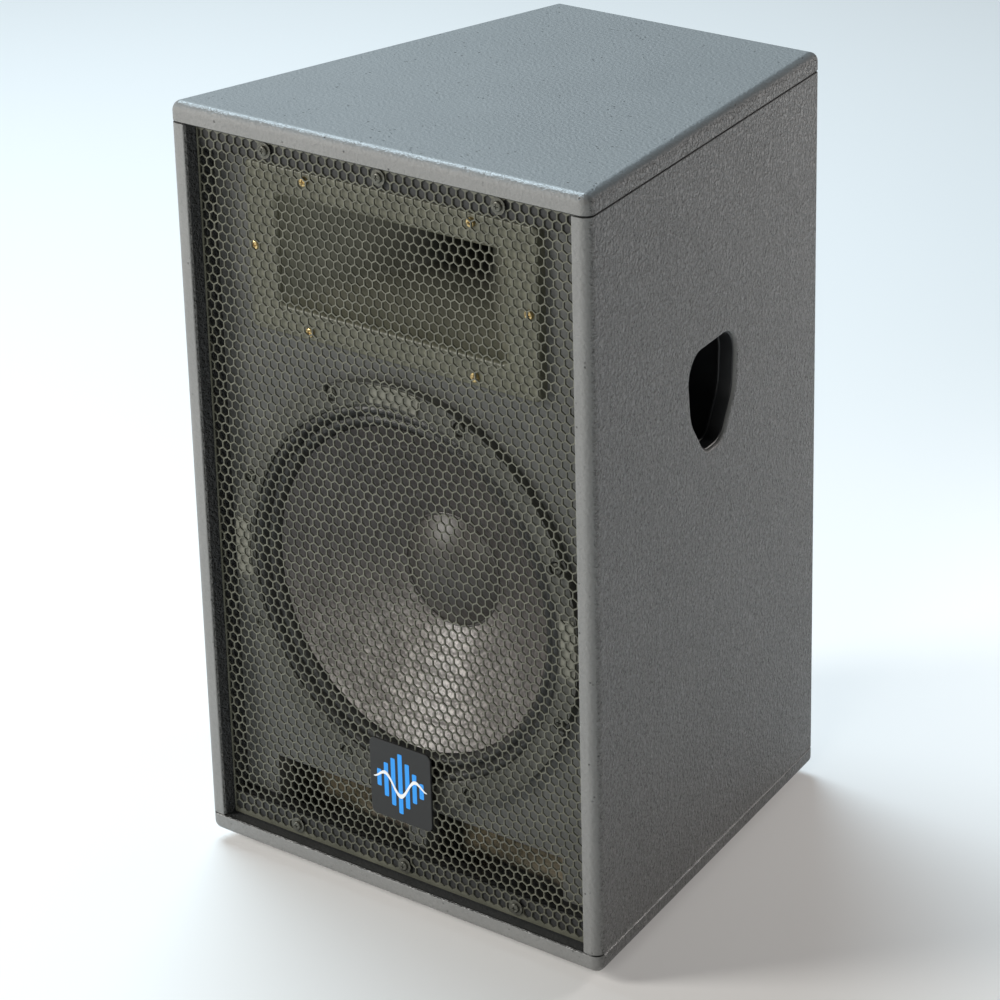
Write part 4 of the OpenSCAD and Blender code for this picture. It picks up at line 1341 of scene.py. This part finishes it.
def horn_shell():
    """One moulding: the flange, four walls that narrow to the neck, and a round throat."""
    bm = bmesh.new()
    low, high = box("horn")
    w, h = high.x - low.x, high.z - low.z
    lip = 3.5
    wall = 4
    end = -HORN_DEPTH
    neck = (60, 40, 8, -NECK_DEPTH)
    throat = [(25.4, 25.4, 12.6, end), (31, 28, 12, end + 10), (42, 33, 10, end + 23), neck]

    def section(a, b, r, z):
        return at(rounded_rect(a, b, min(r, a / 2 - 0.1, b / 2 - 0.1)), z)

    def flare(share, extra=0.0):
        """The section at a share of the way from the neck to the flange."""
        a, b, r, z = neck
        return (a + 196 * share + extra, b + 60 * share + extra, r - 2 * share,
                z + (NECK_DEPTH + FLANGE_T) * share)

    inside = [section(*s) for s in throat]
    inside += [section(*flare(i / 10)) for i in range(1, 10)]
    a, b, r, z = flare(0.965)
    inside += [section(a + 2 * lip * s, b + 2 * lip * s, r + lip * s, z + lip * u)
               for s, u in quarter(5)]
    edge = 2
    face = [section(w - 2 * edge * s, h - 2 * edge * s, 5, FLANGE_T - edge + edge * u)
            for s, u in quarter(4)][::-1]
    back = [section(w, h, 5, 0), section(250, 104, 6, 0)]
    outside = [section(*flare(i / 10, 2 * wall)) for i in range(8, -1, -1)]
    outside += [section(a + 2 * wall, b + 2 * wall, r + wall, z)
                for a, b, r, z in reversed(throat[1:3])]
    outside += [section(100, 100, 49.8, z) for z in (end + 8, end)]
    walls(bm, inside + face + back + outside, wrap=True)
    piece("horn_moulding", bm, "horn_plastic", ["horn"], HORN)


def hf_driver():
    """The compression driver's yoke, magnet, plate and ribbed cover, from front to back."""
    front, magnet_front, plate_front, cover_front, back = -HORN_DEPTH, -138, -156, -163, -185
    r, pole_r, pole_bore, dome_r, cover_bore, cover_t = 50, 24.5, 17, 22, 36, 3
    yoke = turned([(12.7, front), (r, front), (r, magnet_front), (pole_r, magnet_front),
                   (pole_r, cover_front), (dome_r, cover_front), (dome_r, cover_front + 8),
                   (pole_bore, cover_front + 8)], [0.5, 1, 1, 0.5, 0.5, 0.3, 0.3, 0.5], 3)
    lathed("hf_yoke_with_pole", "zinc_steel", ["hf_yoke"], HORN, [yoke], 72)
    lathed("hf_ring_magnet", "ferrite", ["hf_magnet"], HORN,
           [ring_profile(30, r, plate_front, magnet_front, [1, 2, 2, 1])], 72)
    lathed("hf_front_plate", "zinc_steel", ["hf_top_plate"], HORN,
           [ring_profile(26.6, r, cover_front, plate_front, [0.3, 1, 1, 0.3])], 72)
    bm = bmesh.new()
    cover = turned([(0, back), (r - 4, back), (r, back + 4), (r, cover_front),
                    (cover_bore, cover_front), (cover_bore, back + cover_t), (0, back + cover_t)],
                   [0, 3, 2, 0.8, 0.8, 3, 0], 5)
    lathe(bm, cover, 72)
    for turn in range(0, 360, 30):
        ridge = bmesh.new()
        block(ridge, (18, -1, back - 1.2), (34, 1, back + 0.5), 0.5)
        add(bm, ridge, Matrix.Rotation(math.radians(turn), 4, "Z"))
    piece("hf_cover_moulding", bm, "horn_plastic", ["hf_rear_cover"], HORN)


# ---------- crossover and leads ----------

def crossover():
    """Wound coils, film capacitors and cement resistors, each on its CAD node's place."""
    top = box("crossover_board")[1].z
    on_edge = Matrix.Rotation(math.pi / 2, 4, "Y")
    small_r = 18
    bm = bmesh.new()
    for profile, segments, place in (
            (winding(12, 25, 0.5, 21.5, 1.6), 72, Matrix.Translation((-36, 92, top))),
            (winding(9, small_r, -8.7, 8.7, 1.4), 64,
             Matrix.Translation((32, 142, top + small_r)) @ on_edge)):
        coil = bmesh.new()
        lathe(coil, profile, segments)
        add(bm, coil, place)
    piece("wound_coils", bm, "copper_coil", ["crossover_coils"])
    bm = bmesh.new()
    for low, high in solids("crossover_capacitors"):
        size = high - low
        r, half = size.z / 2, size.x / 2
        can = bmesh.new()
        lathe(can, turned([(0, -half), (r - 0.4, -half), (r, 1 - half), (r, half - 1),
                           (r - 0.4, half), (0, half)], [0, 0.8, 0.8, 0.8, 0.8, 0], 3), 40)
        add(bm, can, Matrix.Translation((low + high) / 2) @ on_edge)
    piece("film_capacitors", bm, "capacitor_film", ["crossover_capacitors"])
    bm = bmesh.new()
    for low, high in solids("crossover_resistors"):
        block(bm, low, high, 0.8)
    piece("cement_resistors", bm, "ceramic", ["crossover_resistors"])


LEADS = {
    "input_lead": ("lead_black", [(-27, 169, 260), (-27, 150, 259), (-29, 134, 240),
                                  (-34, 128, 190), (-40, 126, 120), (-42, 126, 70), (-42, 126, 38)]),
    "woofer_lead": ("lead_red", [(44, 76, 38), (44, 74, 60), (44, 50, 88), (42, 0, 112),
                                 (32, -55, 124), (18, -96, 136), (9, -118, 142), (8, -129, 143)]),
    "horn_lead": ("lead_green", [(-66, 84, 38), (-66, 80, 60), (-74, 60, 110), (-84, 42, 190),
                                 (-88, 34, 300), (-84, 32, 420), (-60, 30, 510), (-34, 24, 562),
                                 (-24, 16, 584), (-20, 5, 590)]),
}
LEAD_R = 2.5


def leads():
    for node, (slot, route) in LEADS.items():
        curve = bpy.data.curves.new(node + "_wire", "CURVE")
        curve.dimensions = "3D"
        curve.resolution_u = 10
        curve.bevel_depth = LEAD_R * MM
        curve.bevel_resolution = 4
        curve.use_fill_caps = True
        spline = curve.splines.new("BEZIER")
        spline.bezier_points.add(len(route) - 1)
        for point, place in zip(spline.bezier_points, route):
            point.co = Vector(place) * MM
            point.handle_left_type = point.handle_right_type = "AUTO"
        curve.materials.append(MATERIALS[slot])
        obj = add_object(node + "_wire", curve)
        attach(obj, CABINET)
        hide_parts(node)


# ---------- everything ----------

top_board()
bottom_board()
side_board("right_side_board", "right_side_panel", HERE)
side_board("left_side_board", "left_side_panel", MIRROR)
back_board()
perforated_grille()
all_screws()
handle_fixing_screws()
badge()
handle_cup("right_cup", "right_handle_cup", HERE)
handle_cup("left_cup", "left_handle_cup", MIRROR)
feet()
pole_cup()
rear_dish()
speaker_socket("input_speaker_socket", "input_socket")
speaker_socket("link_speaker_socket", "link_socket")
surround()
spider()
cone()
dust_cap()
voice_coil()
rim_pads()
motor()
horn_shell()
hf_driver()
crossover()
leads()

# CAD nodes whose look differs from that of their material slot
FINISHES = {
    "upper_grille_batten": "batten_paint", "lower_grille_batten": "batten_paint",
    "woofer_gasket": "gasket_rubber",
    "port_shelf": "duct_wood", "port_divider": "duct_wood", "port_side_walls": "duct_wood",
}
for part in frame["record"]["subparts"]:
    node = frame["nodes"][part["node"]]
    finish = FINISHES.get(part["node"], part["material_slot"])
    if not node.hide_render:
        for material_slot in node.material_slots:
            material_slot.material = MATERIALS[finish]


# ---------- floor, light and camera ----------

def floor():
    look = Look("floor", 0.7, Emission_Color=(1, 0.97, 0.95, 1), Emission_Strength=0.14)
    tone = look.noise(0.8, 2.0)
    look.colour(tone, (0.70, 0.69, 0.68), (0.73, 0.72, 0.71))
    mesh = bpy.data.meshes.new("floor")
    reach = 14
    mesh.from_pydata([(-reach, -reach, 0), (reach, -reach, 0), (reach, reach, 0), (-reach, reach, 0)],
                     [], [(0, 1, 2, 3)])
    mesh.materials.append(look.material)
    obj = add_object("floor", mesh)


def area_light(name, place, target, size, power, colour):
    lamp = bpy.data.lights.new(name, "AREA")
    lamp.shape = "DISK"
    lamp.size = size
    lamp.energy = power
    lamp.color = colour
    obj = add_object(name, lamp)
    obj.location = place
    obj.visible_camera = False
    obj.rotation_euler = (Vector(target) - Vector(place)).to_track_quat("-Z", "Y").to_euler()


def lights():
    """A broad key in front, a bluish panel over the top, and weak fills from the right."""
    world = bpy.data.worlds.new("sky")
    bpy.context.scene.world = world
    world.use_nodes = True
    background = world.node_tree.nodes["Background"]
    background.inputs["Color"].default_value = (1.0, 1.0, 1.0, 1)
    background.inputs["Strength"].default_value = 0.045
    area_light("key", (-1.98, -2.2, 1.5), (0, 0, 0.36), 1.1, 74, (1.0, 0.985, 0.94))
    area_light("top_panel_light", (-2.1, 1.0, 3.85), (0, 0, 0.5), 3.0, 218, (0.70, 0.87, 0.98))
    area_light("side_fill", (0.62, 0.95, 0.62), (0.15, 0, 0.35), 0.4, 4.7, (1.0, 0.95, 0.92))
    area_light("front_fill", (1.0, -2.9, 1.4), (0, 0, 0.4), 1.2, 23, (1.0, 1.0, 0.94))


def camera():
    """The camera stands in front, to the right and above, and looks down at the cabinet."""
    heading, pitch, roll = 0.6924, 0.4030, -0.0259
    forward = Vector((-math.sin(heading) * math.cos(pitch), math.cos(heading) * math.cos(pitch),
                      -math.sin(pitch)))
    right = Vector((math.cos(heading), math.sin(heading), 0))
    up = right.cross(forward)
    right, up = (math.cos(roll) * right + math.sin(roll) * up,
                 math.cos(roll) * up - math.sin(roll) * right)
    data = bpy.data.cameras.new("camera")
    data.sensor_width = 36
    data.lens = 133.1
    obj = add_object("camera", data)
    turn = Matrix((right, up, -forward)).transposed().to_4x4()
    obj.matrix_world = Matrix.Translation((1.921, -2.377, 1.625)) @ turn
    bpy.context.scene.camera = obj


floor()
lights()
camera()
bpy.context.scene.view_settings.view_transform = "Standard"

bpy.context.view_layer.update()
